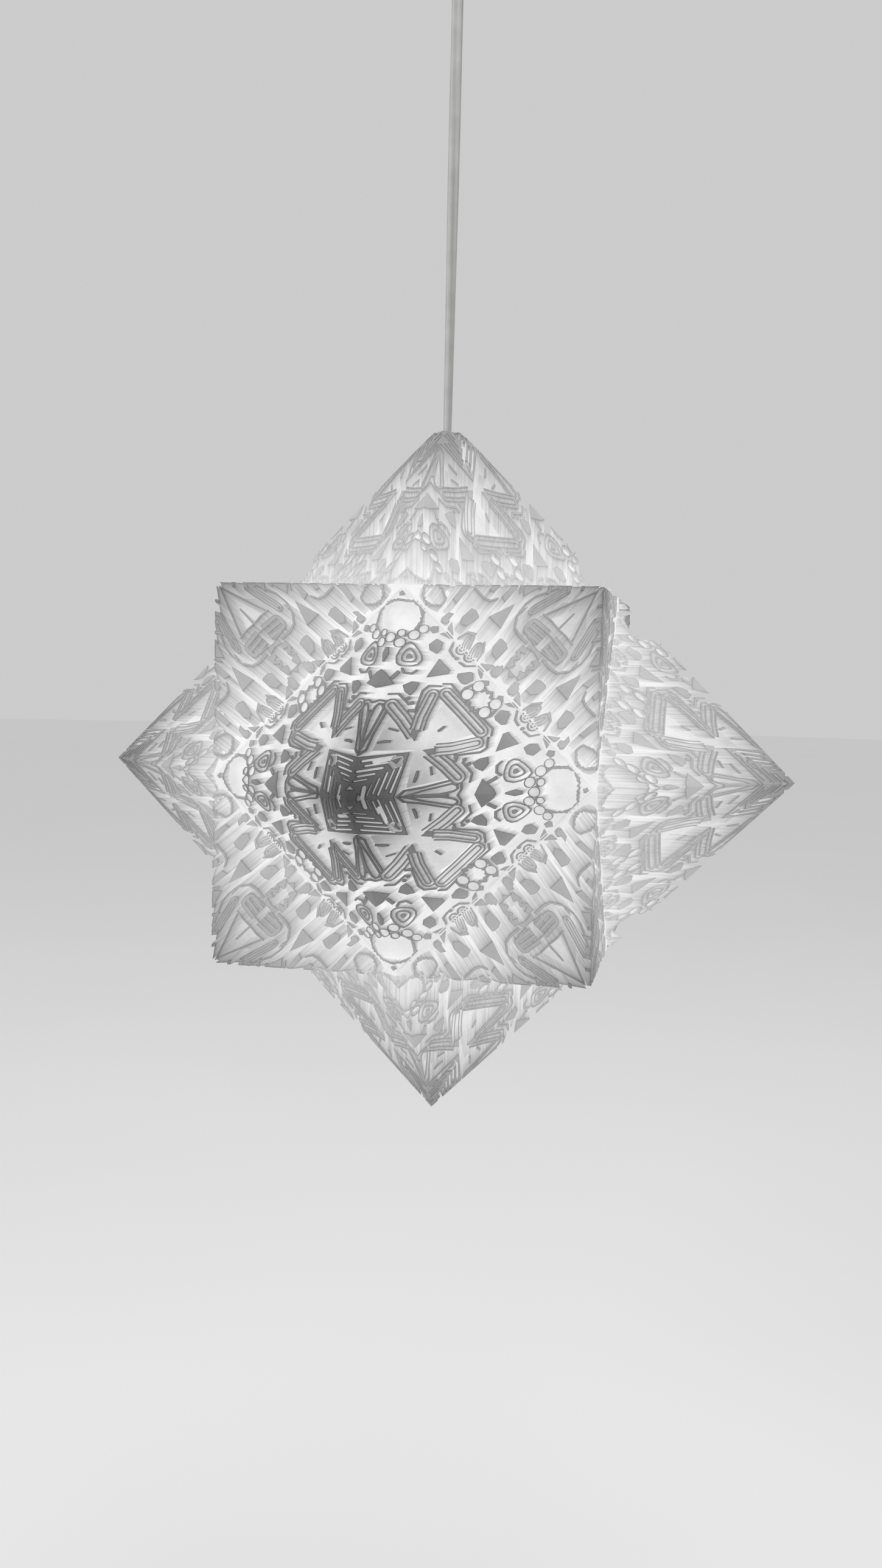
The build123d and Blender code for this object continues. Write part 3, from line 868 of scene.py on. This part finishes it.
# %% [markdown]
# A teardrop of nested fins stands beside each ridge, and a small saw-edged star sits on each diagonal
# in a ring of round studs.

# %% Four-sided point: teardrops and studded stars
teardrop = [(5.2, 60.2), (4.5, 63.4), (5.2, 66.6), (6.8, 69.6), (8.8, 71.0), (10.8, 69.8), (13.4, 66.8),
            (15.2, 64.0), (15.6, 61.6), (14.4, 59.6), (12.4, 58.8), (10.0, 58.5), (7.6, 58.6), (6.2, 59.2)]
four.rings(teardrop, (0.0, 0.55, 2.0, 2.6, 3.9))
four.bar(cap_level, [(8.2, 57.6), (9.4, 55.6), (12.4, 55.2), (14.2, 56.8)], 0.5, round_start=True)
four.paint(cap_level, blob((43, 43), 6.6, 18, 1.3), mirrored=False)
four.paint(floor_level, blob((43, 43), 5.0, 20, 1.4), mirrored=False)
for stud in ((37.2, 45.8), (41.2, 49.8)):
    four.paint(cap_level, blob(stud, 2.8, 12))
    four.paint(dome_level, blob(stud, 2.5, 12))
four.paint(cap_level, [(33.6, 46.2), (35.2, 49.2), (39.4, 51.6), (38.0, 49.4), (35.8, 48.0)])
print("with the teardrops and stars:", len(four.outlines))

# %% [markdown]
# Each ridge ends in a bright window with a saw-toothed edge, over a row of round studs. At the middle
# of each crease two small loops stand side by side and carry on across the crease.

# %% Four-sided point: windows
window_middle = 82.6
window_sides = 18
squarer = 0.8


def window_outline(half_wide, half_high, pitch, teeth):
    """A round window, a little squarer than an oval, with saw teeth."""
    outline = []
    for side in range(window_sides):
        spoke = Vector((sin(2 * pi * side / window_sides), -cos(2 * pi * side / window_sides)))
        wide = abs(spoke.x) ** squarer * (1 if spoke.x > 0 else -1)
        high = abs(spoke.y) ** squarer * (1 if spoke.y > 0 else -1)
        outline.append(Vector((half_wide * wide, window_middle + half_high * high)))
    return saw(outline, pitch, teeth)


four.paint(cap_level, window_outline(11.6, 9.6, 2.2, 0.9), mirrored=False)
four.paint(window_level, window_outline(10.4, 8.5, 2.2, 0.8), mirrored=False)
print("a window has", len(window_outline(10.4, 8.5, 2.2, 0.8)), "corners")

# %% Four-sided point: studs and crease loops
studs = (((4.6, 70.2), 2.2), ((0.0, 72.6), 2.3), ((9.6, 74.2), 2.3), ((4.4, 75.0), 1.6), ((13.0, 77.4), 2.0))
for stud, size in studs:
    four.paint(cap_level, blob(stud, size + 0.3, 12), mirrored=stud[0] > 0)
for stud, size in studs:
    four.paint(dome_level, blob(stud, size, 12), mirrored=stud[0] > 0)
four.paint(cap_level, blob((0, 95.2), 1.5, 9, 0.5), mirrored=False)
for path in ([(37.4, 66.4), (34.8, 64.0)], [(33.6, 70.2), (30.8, 67.6)]):
    four.nest(path, (2.7, 2.0, 1.1, 0.5), groove=floor_level)
four.bar(cap_level, [(38.4, 59.8), (33.6, 59.4), (31.0, 61.2)], 0.45, round_start=True)
four.bar(cap_level, [(28.0, 64.0), (25.8, 67.0), (26.8, 71.6)], 0.45, round_start=True)
four.paint(cap_level, blob((29.4, 63.2), 0.9, 8))
crease_line = strip([(0.6, half_cube - 2.2), (half_cube - 2.2, 0.6)], 0.3, round_end=False)
four.paint(band_level, crease_line, mirrored=False)
print("outlines of a four-sided point:", len(four.outlines))

# %% [markdown]
# ## Drawing of a three-sided point
# The three facets of a corner are drawn on the cube's own faces, with both places measured from the
# cube's middle, and then projected along the corner's axis. A smooth V lies at the tip between long
# nested hairpins; two woven frames cross below it, and pegs and a lacy recess fill the rest.

# %% Three-sided point: places on the cube's faces
three = Drawing(3, half_cube * sqrt(2 / 3), pi / 3)
three_base = 2 * half_cube / sqrt(3)


def face_place(x, z):
    """A place on a face of the cube, as the corner's drawing has it."""
    return Vector(((x - z) / sqrt(2), (2 * half_cube - x - z) / sqrt(6)))


def on_face(*places):
    return [face_place(x, z) for x, z in places]


def both_sides(start, side, *end):
    """An outline that is its own mirror image: a start and an end on the mirror line, and one side."""
    return on_face(start, *side, *end, *[(z, x) for x, z in reversed(side)])


print("a face's middle lies at", [round(v, 1) for v in face_place(0, 0)])

# %% Three-sided point: V panel and straps
tip_field = both_sides((97.5, 97.5), [(84, 97), (63, 92.4), (56, 80), (63, 70)])
three.paint(band_level, tip_field, mirrored=False)
three.nest(on_face((84, 98.6), (66.3, 88.2)), (1.9, 1.45, 0.8, 0.35))
frame_edge = ((63.6, 71.4), (59.2, 75.4), (57.2, 79), (58.2, 85), (62.4, 91), (67, 94.6), (80, 99.4))
three.bar(cap_level, on_face(*frame_edge), 0.38)
v_rim = both_sides((98.2, 98.2), [(85, 92.0), (69.6, 84.9), (73.0, 82.6)], (77.4, 77.4))
v_panel = both_sides((96.8, 96.8), [(85, 91.2), (70.8, 84.6), (73.4, 83)], (77.9, 77.9))
three.paint(cap_level, v_rim, mirrored=False)
three.paint(panel_level, v_panel, mirrored=False)
three.bar(cap_level, on_face((79.0, 79.0), (86, 86)), 0.42, mirrored=False)
strap = on_face((69.4, 84.2), (73.5, 81), (77, 77), (81, 73.5), (84.2, 69.4))
three.bar(cap_level, strap, 1.7, round_end=False, mirrored=False)
three.bar(band_level, strap, 1.35, round_end=False, mirrored=False)

# %% Three-sided point: woven frames
slot_shift = 0.95
frame_path = on_face((72.0, 74.4), (65.2, 80.0))
three.bar(cap_level, frame_path, 2.7)
for shift in (-slot_shift, slot_shift):
    aside = across((frame_path[1] - frame_path[0]).normalized()) * shift
    three.bar(dome_level, [point + aside for point in frame_path], 0.3, round_start=True)
three.bar(cap_level, on_face((67.6, 71.0), (63.6, 75.4)), 0.34, round_end=False)
print("outlines with the frames:", len(three.outlines))

# %% Three-sided point: lace and pegs
lace = (
    (68.6, 68.6), (66.4, 71.0), (62.6, 69.4), (61.4, 70.8), (58.2, 67.6),
    (58.6, 64.6), (55.4, 63.6), (53.0, 59.6), (55.0, 58.2), (54.6, 54.6),
)
recess = (
    (67.0, 67.0), (63.6, 69.2), (62.8, 66.0), (60.2, 67.2), (60.4, 63.8),
    (56.8, 63.0), (58.2, 60.4), (54.4, 59.0), (56.6, 56.6),
)
three.paint(cap_level, on_face(*lace))
three.paint(floor_level, on_face(*recess))
three.paint(band_level, on_face((65.6, 65.6), (63.4, 67.0), (62.2, 64.2), (60.8, 64.6), (60.6, 60.6)))
face_pegs = (
    [(68.8, 53.9), (71.2, 53.2), (73.4, 51.0), (73.6, 49.8), (70.2, 46.8), (66.0, 46.0), (63.2, 48.4)],
    [(84.0, 39.2), (87.2, 37.6), (88.4, 35.2), (84.2, 30.6), (80.4, 29.8), (79.6, 33.0)],
    [(78.6, 50.2), (90.8, 56.8), (84.4, 44.0)],
    [(94.6, 61.0), (99.6, 70.0), (99.6, 61.2)],
    [(46.0, 57.0), (48.6, 60.2), (51.2, 59.6), (51.6, 57.4), (48.6, 54.6), (46.2, 55.0)],
    [(54.8, 49.2), (57.6, 52.2), (60.6, 51.6), (59.2, 49.2), (60.0, 47.2), (57.0, 45.6)],
    [(60.4, 47.4), (61.2, 40.6), (57.6, 44.0)],
    [(80.4, 22.0), (81.4, 24.2), (83.4, 23.8), (85.6, 26.4), (86.2, 23.6), (83.8, 20.4), (81.6, 20.0)],
    [(75.0, 26.2), (81.6, 25.4), (78.6, 23.4)],
    [(62.0, 56.0), (67.2, 60.0), (64.2, 55.6)],
    [(91.4, 51.8), (99.4, 58.6), (99.4, 55.0), (94.6, 50.2)],
    [(96.4, 46.2), (99.6, 49.4), (99.6, 45.6), (97.6, 43.8)],
    [(86.4, 60.4), (89.4, 63.4), (87.8, 59.4)],
    [(90.6, 27.4), (99.2, 34.6), (99.2, 30.4), (93.2, 25.6)],
)
for peg in face_pegs:
    three.paint(cap_level, on_face(*peg))
three.bar(cap_level, on_face((93.4, 48.6), (92.2, 44.4), (93.6, 41.2), (98.4, 36.6)), 0.35)
print("with the lace and the pegs:", len(three.outlines))

# %% Three-sided point: side windows and crease loops
side_rim = (
    (89.4, 20.2), (92.8, 22.6), (97.2, 20.8), (99.7, 18.4),
    (99.7, 10.8), (95.0, 10.0), (91.2, 11.6), (89.4, 15.0),
)
side_window = (
    (90.4, 19.6), (93.0, 21.6), (96.8, 20.0), (99.7, 17.0),
    (99.7, 12.0), (95.4, 11.2), (92.0, 12.4), (90.4, 15.2),
)
three.paint(cap_level, saw(on_face(*side_rim), 2.0, 0.4))
three.paint(window_level, saw(on_face(*side_window), 2.0, 0.5))
for path in (((64.4, 36.4), (69.0, 38.6)), ((68.4, 32.6), (72.8, 34.6))):
    three.nest(on_face(*path), (2.0, 1.6, 0.85, 0.45), groove=floor_level)
print("with the side windows:", len(three.outlines))

# %% Three-sided point: spikes along the edges
face_edge = 99.9
spikes = (
    (56, 1.6, 2.4), (59.5, 1.0, 4.2), (65, 2.2, 3.0), (69.4, 1.0, 1.8),
    (73.5, 1.4, 4.6), (79, 1.2, 2.6), (83, 2.0, 3.4), (90, 1.2, 2.2),
)
for along, wide, deep in spikes:
    tip = (along - 0.8, face_edge - deep)
    shoulder = (along + 0.7 * wide, 99.2 - 0.6 * deep)
    three.paint(cap_level, on_face((along, face_edge), tip, shoulder, (along + wide, face_edge)))
three.bar(cap_level, on_face((62.4, 38.6), (66.6, 41.6), (71.6, 42.2)), 0.4)
three.bar(cap_level, on_face((73.6, 28.8), (76.4, 33.4), (75.6, 37.6)), 0.4)
print("outlines of a three-sided point:", len(three.outlines))

# %% [markdown]
# ## The fourteen points
# The six four-sided points look along the cube's axes. The top one is blunt and has a round hole for
# the cord, and it rides on its own body, because it lifts off to reach the bulb. Over the spider's
# arms the upper corners carry a plain rib, so that the steel lies hidden in the sheet. The numbers
# after the directions are painted light: a power below one makes a point's thick parts brighter, so
# the same paper shows lighter on those points.

# %% Four-sided points
four_axes = {
    "front_point": ((0, -1, 0), (1, 0, 0), 1.0),
    "back_point": ((0, 1, 0), (1, 0, 0), 1.0),
    "left_point": ((-1, 0, 0), (0, 1, 0), 0.52),
    "right_point": ((1, 0, 0), (0, 1, 0), 0.40),
    "bottom_point": ((0, 0, -1), (1, 0, 0), 0.42),
}
four_shell = carved_shell("four_sided_shell", four, four_sided_tones, half_cube)
for node, (axis, spoke, painted_light_power) in four_axes.items():
    carved = star_point(f"carved_{node}", four_shell, axis, spoke, half_cube, "star", painted_light_power)
    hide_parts(node)

# %% Top point
cord_play = 1.1
seat_lift = 0.52
collar_share = 1.6
top_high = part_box("top_point")[1]
cord_hole = cord_width / 2 / mm + cord_play
collar_blunt = 2 * half_cube + seat_lift - (top_high[2] - star_centre.z) / mm
with_hole = Drawing(4, half_cube, 0.0)
with_hole.outlines = four.outlines + [(cap_level, blob((0, 0), collar_share * cord_hole, hole_corners))]
top_shell = carved_shell("top_shell", with_hole, four_sided_tones, half_cube, collar_blunt, cord_hole)
top_base = half_cube + seat_lift
carved = star_point("carved_top_point", top_shell, (0, 0, 1), (1, 0, 0), top_base, "top_point", 0.42)
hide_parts("top_point")
print("the cord's hole is", round(2 * cord_hole, 1), "mm wide")

# %% Three-sided points
rib_margin = 4.0
rib_half = 5.4
spider_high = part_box("spider")[1]
rib_start = half_cube / 2 - rib_margin
rib_end = (hypot(spider_high[0], spider_high[1]) / mm + rib_margin) / sqrt(2)
ribbed = Drawing(3, half_cube * sqrt(2 / 3), pi / 3)
ribbed.outlines = list(three.outlines)
rib = on_face((rib_start, rib_start), (rib_end, rib_end))
ribbed.bar(cap_level, rib, rib_half, mirrored=False, turns=(1,))
shells = {
    "lower": carved_shell("three_sided_shell", three, three_sided_tones, three_base),
    "upper": carved_shell("ribbed_shell", ribbed, three_sided_tones, three_base),
}
for x_name, x in (("left", -1), ("right", 1)):
    for y_name, y in (("front", -1), ("back", 1)):
        for z_name, z in (("lower", -1), ("upper", 1)):
            node = f"corner_{z_name}_{y_name}_{x_name}"
            shell, axis, spoke = shells[z_name], (x, y, z), (x, y, -2 * z)
            carved = star_point(f"carved_{node}", shell, axis, spoke, three_base, "star")
            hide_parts(node)

# %% [markdown]
# ## Finish: moulded plastic and glazed white
# The holder, the ceiling cup and the cord fittings are injection moulded. Real mouldings are never one
# flat tone: they have slow clouds in the colour, a fine spark-eroded texture that only the gloss shows,
# and a little grime where hands or air pass. One recipe with a few numbers makes all of them, so that
# they look like one family but not like one material.

# %% Moulded finishes
def object_noise(finish, scale, stretch=(1.0, 1.0, 1.0), detail=2.0):
    """Noise on the piece's own coordinates, in cycles per metre, stretched along an axis if wanted."""
    place = add_node(finish, "ShaderNodeTexCoord")
    turn = add_node(finish, "ShaderNodeMapping")
    turn.inputs["Scale"].default_value = stretch
    link(finish, place.outputs["Object"], turn.inputs["Vector"])
    noise = add_node(finish, "ShaderNodeTexNoise", Scale=scale, Detail=detail)
    link(finish, turn.outputs["Vector"], noise.inputs["Vector"])
    return noise.outputs["Fac"]


def roughen(finish, shader, factor, low, high):
    """Let the gloss follow a noise, between two roughness values."""
    link(finish, ramp(finish, factor, [(0.3, low), (0.7, high)]), shader.inputs["Roughness"])


def emboss(finish, shader, height, distance, strength=0.5):
    """A fine bump from a height, its depth in metres."""
    bump = add_node(finish, "ShaderNodeBump", Strength=strength, Distance=distance)
    link(finish, height, bump.inputs["Height"])
    link(finish, bump.outputs["Normal"], shader.inputs["Normal"])


def tint(tone, warmth):
    """A grey with a touch of warmth: less blue, and a little less green."""
    return (tone, tone * (1 - warmth / 3), tone * (1 - warmth))


def moulded(name, tone, warmth=0.01, gloss=0.35, texture=900.0):
    """White plastic: clouds in the colour, an eroded texture in gloss and bump."""
    finish, shader = new_finish(name)
    clouds = object_noise(finish, 45.0, detail=3.0)
    grimy, plain, clean = tint(tone * 0.90, warmth * 2), tint(tone, warmth), tint(tone * 1.04, warmth)
    shades = ramp(finish, clouds, [(0.32, grimy), (0.5, plain), (0.7, clean)])
    link(finish, shades, shader.inputs["Base Color"])
    fine = object_noise(finish, texture, detail=2.0)
    roughen(finish, shader, fine, gloss - 0.06, gloss + 0.12)
    emboss(finish, shader, fine, 0.00008)
    return finish


def dress(finish, *nodes):
    """Put a finish on nodes that come from the frame as they are."""
    for node in nodes:
        bpy.data.objects[node].material_slots[0].material = finish
    print(finish.name, "on", ", ".join(nodes))


dress(moulded("holder_plastic", 0.82), "holder_cap", "holder_body", "shade_ring")
dress(moulded("cup_plastic", 0.84, gloss=0.42, texture=700.0), "canopy")
dress(moulded("fitting_plastic", 0.80, gloss=0.30), "cord_bush", "bush_nut", "cord_nipple", "grip_screw")
dress(moulded("clamp_plastic", 0.78, warmth=0.02, gloss=0.45), "clamp_front", "clamp_back")
dress(moulded("terminal_plastic", 0.83, warmth=0.03, gloss=0.38), "terminal_block")
dress(moulded("bulb_base_plastic", 0.86, gloss=0.25, texture=1400.0), "bulb_base")
dress(moulded("steatite", 0.80, warmth=0.07, gloss=0.62, texture=2600.0), "contact_insert")

# %% [markdown]
# ## Finish: metals and powder coat
# Zinc plating on the bracket and the screws has a cloudy, bluish bloom, so the colour and the gloss
# wander together. The brass contact is brushed along its length. The spider is steel under a white
# powder coat, whose skin has the fine dimples of orange peel: those are a bump from a noise with
# features of about a millimetre.

# %% Metals and powder coat
def plated(name, dark, light, stretch=(1.0, 1.0, 1.0), gloss=0.3):
    """Metal whose colour and gloss wander together; stretch turns the clouds into brushing."""
    finish, shader = new_finish(name)
    shader.inputs["Metallic"].default_value = 1.0
    clouds = object_noise(finish, 160.0, stretch, detail=4.0)
    link(finish, ramp(finish, clouds, [(0.3, dark), (0.7, light)]), shader.inputs["Base Color"])
    roughen(finish, shader, clouds, gloss, gloss + 0.2)
    emboss(finish, shader, object_noise(finish, 2200.0, stretch), 0.00005, 0.4)
    return finish


zinc_bracket = plated("zinc_bracket", (0.50, 0.52, 0.55), (0.70, 0.71, 0.73), (0.25, 3.0, 3.0))
zinc_screws = plated("zinc_screws", (0.54, 0.55, 0.57), (0.76, 0.76, 0.77), gloss=0.24)
brass = plated("brass", (0.60, 0.44, 0.19), (0.83, 0.66, 0.34), (0.2, 4.0, 4.0))
dress(zinc_bracket, "bracket")
dress(zinc_screws, "canopy_screws", "clamp_screws")
dress(brass, "centre_contact", "terminal_screws")

powder_coat, shader = new_finish("powder_coat")
peel = object_noise(powder_coat, 800.0, detail=1.0)
coat_shade = object_noise(powder_coat, 30.0, detail=3.0)
link(powder_coat, ramp(powder_coat, coat_shade, [(0.3, 0.76), (0.7, 0.86)]), shader.inputs["Base Color"])
roughen(powder_coat, shader, peel, 0.30, 0.42)
emboss(powder_coat, shader, peel, 0.00012)
dress(powder_coat, "spider")

# %% [markdown]
# ## Finish: cord sheath
# The sheath is extruded grey PVC. The die leaves faint lines along the cord, so the noise is squeezed
# across the cord and stretched along it, and dust makes the tone a little uneven from place to place.

# %% Cord finish
cord_pvc, shader = new_finish("cord_pvc")
die_lines = object_noise(cord_pvc, 1500.0, (1.0, 1.0, 0.01), detail=2.0)
dust = object_noise(cord_pvc, 60.0, detail=4.0)
dusty = ramp(cord_pvc, dust, [(0.3, (0.50, 0.50, 0.49)), (0.7, (0.62, 0.62, 0.61))])
lines_tone = ramp(cord_pvc, die_lines, [(0.3, 0.93), (0.7, 1.0)])
sheath_colour = add_node(cord_pvc, "ShaderNodeMix", data_type="RGBA", blend_type="MULTIPLY")
sheath_colour.inputs["Factor"].default_value = 1.0
link(cord_pvc, dusty, sheath_colour.inputs[6])
link(cord_pvc, lines_tone, sheath_colour.inputs[7])
link(cord_pvc, sheath_colour.outputs[2], shader.inputs["Base Color"])
roughen(cord_pvc, shader, dust, 0.38, 0.55)
emboss(cord_pvc, shader, die_lines, 0.00006)
cord_piece.data.materials.append(cord_pvc)
dress(cord_pvc, "cord_tail")

# %% [markdown]
# ## Bulb
# The bulb screws up into the holder with its globe hanging down. The screw shell is rolled from thin
# aluminium: its thread is a smooth wave that climbs one pitch in every turn. A plain tube of rings does
# it: each vertex moves out by a wave that runs with its height and its angle. The globe is opal glass
# lit from inside: it glows, and a little less near the neck.

# %% Bulb screw with its thread
screw_low, screw_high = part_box("bulb_screw")
thread_pitch = 2.82 * mm
thread_depth = 0.42 * mm
shoulder_start, shoulder_depth = 0.94, 1.6 * mm
screw_radius = (screw_high[0] - screw_low[0]) / 2
screw_bm = bmesh.new()
screw_ring = bmesh.ops.create_circle(screw_bm, segments=48, radius=screw_radius - 0.02 * mm)["verts"]
bmesh.ops.translate(screw_bm, verts=screw_ring, vec=(0, 0, screw_low[2]))
ring_edges = screw_bm.edges[:]
bmesh.ops.contextual_create(screw_bm, geom=ring_edges)
thread_steps = 66
rise = (screw_high[2] - screw_low[2]) / thread_steps
for step in range(thread_steps):
    grown = bmesh.ops.extrude_edge_only(screw_bm, edges=ring_edges)["geom"]
    ring = [item for item in grown if isinstance(item, bmesh.types.BMVert)]
    ring_edges = [item for item in grown if isinstance(item, bmesh.types.BMEdge)]
    bmesh.ops.translate(screw_bm, verts=ring, vec=(0, 0, rise))
bmesh.ops.contextual_create(screw_bm, geom=ring_edges)
for vertex in screw_bm.verts:
    climb = (vertex.co.z - screw_low[2]) / (screw_high[2] - screw_low[2])
    turn = atan2(vertex.co.y, vertex.co.x)
    wave = 0.5 - 0.5 * cos(2 * pi * (vertex.co.z - screw_low[2]) / thread_pitch - turn)
    fade = min(1.0, 8 * climb, 8 * (1 - climb))
    shoulder = shoulder_depth * max(0.0, climb - shoulder_start) / (1 - shoulder_start)
    inwards = 1 - (thread_depth * wave * fade + shoulder) / screw_radius
    vertex.co.x *= inwards
    vertex.co.y *= inwards
bmesh.ops.recalc_face_normals(screw_bm, faces=screw_bm.faces)
for face in screw_bm.faces:
    face.smooth = len(face.verts) == 4
rolled_aluminium = plated("rolled_aluminium", (0.66, 0.66, 0.66), (0.84, 0.84, 0.83), (1.0, 1.0, 6.0), 0.2)
bulb_thread = new_piece("bulb_thread", screw_bm, "star", rolled_aluminium)
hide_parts("bulb_screw")
print("thread turns:", round((screw_high[2] - screw_low[2]) / thread_pitch, 1))

# %% Opal glass
globe_low, globe_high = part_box("bulb_globe")
opal_glass, shader = new_finish("opal_glass")
place = add_node(opal_glass, "ShaderNodeTexCoord")
split = add_node(opal_glass, "ShaderNodeSeparateXYZ")
link(opal_glass, place.outputs["Object"], split.inputs["Vector"])
above = math(opal_glass, "SUBTRACT", split.outputs["Z"], globe_low[2])
climb = math(opal_glass, "DIVIDE", above, globe_high[2] - globe_low[2])
haze = object_noise(opal_glass, 70.0, detail=2.0)
uneven = math(opal_glass, "MULTIPLY_ADD", haze, 0.12)
link(opal_glass, climb, uneven.node.inputs[2])
# Painted shade: the colour, like the glow, is darker towards the neck.
link(opal_glass, ramp(opal_glass, uneven, [(0.3, 0.92), (1.0, 0.66)]), shader.inputs["Base Color"])
link(opal_glass, ramp(opal_glass, uneven, [(0.3, 0.62), (1.0, 0.22)]), shader.inputs["Emission Color"])
shader.inputs["Emission Strength"].default_value = 1.0
roughen(opal_glass, shader, haze, 0.12, 0.22)
dress(opal_glass, "bulb_globe")

# %% [markdown]
# ## Studio
# A wide pale floor lies under the star, and the world behind it has the same pale grey, so the star
# stands in the same plain studio from every side. Only rays that the camera or a shiny surface sends
# out see that grey: the light that the world gives is set apart from it. Large soft lamps light the
# star from the front left, the right and above.

# %% Floor
studio_grey, shader = new_finish("studio_grey")
mottle = object_noise(studio_grey, 2.0, detail=2.0)
link(studio_grey, ramp(studio_grey, mottle, [(0.3, 0.50), (0.7, 0.52)]), shader.inputs["Base Color"])
shader.inputs["Roughness"].default_value = 0.9
shader.inputs["Specular IOR Level"].default_value = 0.0
shader.inputs["Emission Color"].default_value = (1.0, 1.0, 1.0, 1.0)


def seen_rays(finish):
    """1 for rays from the camera, or from shiny and clear surfaces, 0 for the light itself."""
    rays = add_node(finish, "ShaderNodeLightPath")
    seen = math(finish, "MAXIMUM", rays.outputs["Is Camera Ray"], rays.outputs["Is Glossy Ray"])
    return math(finish, "MAXIMUM", seen, rays.outputs["Is Transmission Ray"])


floor_glow = math(studio_grey, "MULTIPLY", seen_rays(studio_grey), 0.41)
link(studio_grey, floor_glow, shader.inputs["Emission Strength"])
floor_radius, floor_gap = 14.0, 0.32
floor_height = cad_box[0][2] - floor_gap
floor_bm = bmesh.new()
bmesh.ops.create_circle(floor_bm, cap_ends=True, segments=96, radius=floor_radius)
bmesh.ops.translate(floor_bm, verts=floor_bm.verts, vec=(0, 0, floor_height))
floor_mesh = bpy.data.meshes.new("floor")
floor_bm.to_mesh(floor_mesh)
floor_bm.free()
floor_mesh.materials.append(studio_grey)
floor = bpy.data.objects.new("floor", floor_mesh)
scene.collection.objects.link(floor)
print("floor at", round(floor_height, 3), "m")

# %% Lamps and view
def soft_lamp(name, offset, power, size):
    """A square lamp that looks at the star."""
    lamp = bpy.data.objects.new(name, bpy.data.lights.new(name, "AREA"))
    lamp.data.energy = power
    lamp.data.size = size
    lamp.location = star_centre + Vector(offset)
    lamp.rotation_euler = (-Vector(offset)).to_track_quat("-Z", "Y").to_euler()
    scene.collection.objects.link(lamp)


soft_lamp("key_lamp", (-1.3, -1.5, 1.0), 22.0, 1.2)
soft_lamp("fill_lamp", (1.5, -1.1, 0.8), 10.0, 1.2)
soft_lamp("top_lamp", (0.2, 0.3, 1.6), 10.0, 1.4)
world = bpy.data.worlds.new("studio")
world.use_nodes = True
background = world.node_tree.nodes["Background"]
background.inputs["Color"].default_value = (0.6, 0.6, 0.6, 1.0)
strength = add_node(world, "ShaderNodeMapRange", To_Min=0.5, To_Max=1.0)
link(world, seen_rays(world), strength.inputs["Value"])
link(world, strength.outputs["Result"], background.inputs["Strength"])
scene.world = world
scene.view_settings.view_transform = "Standard"
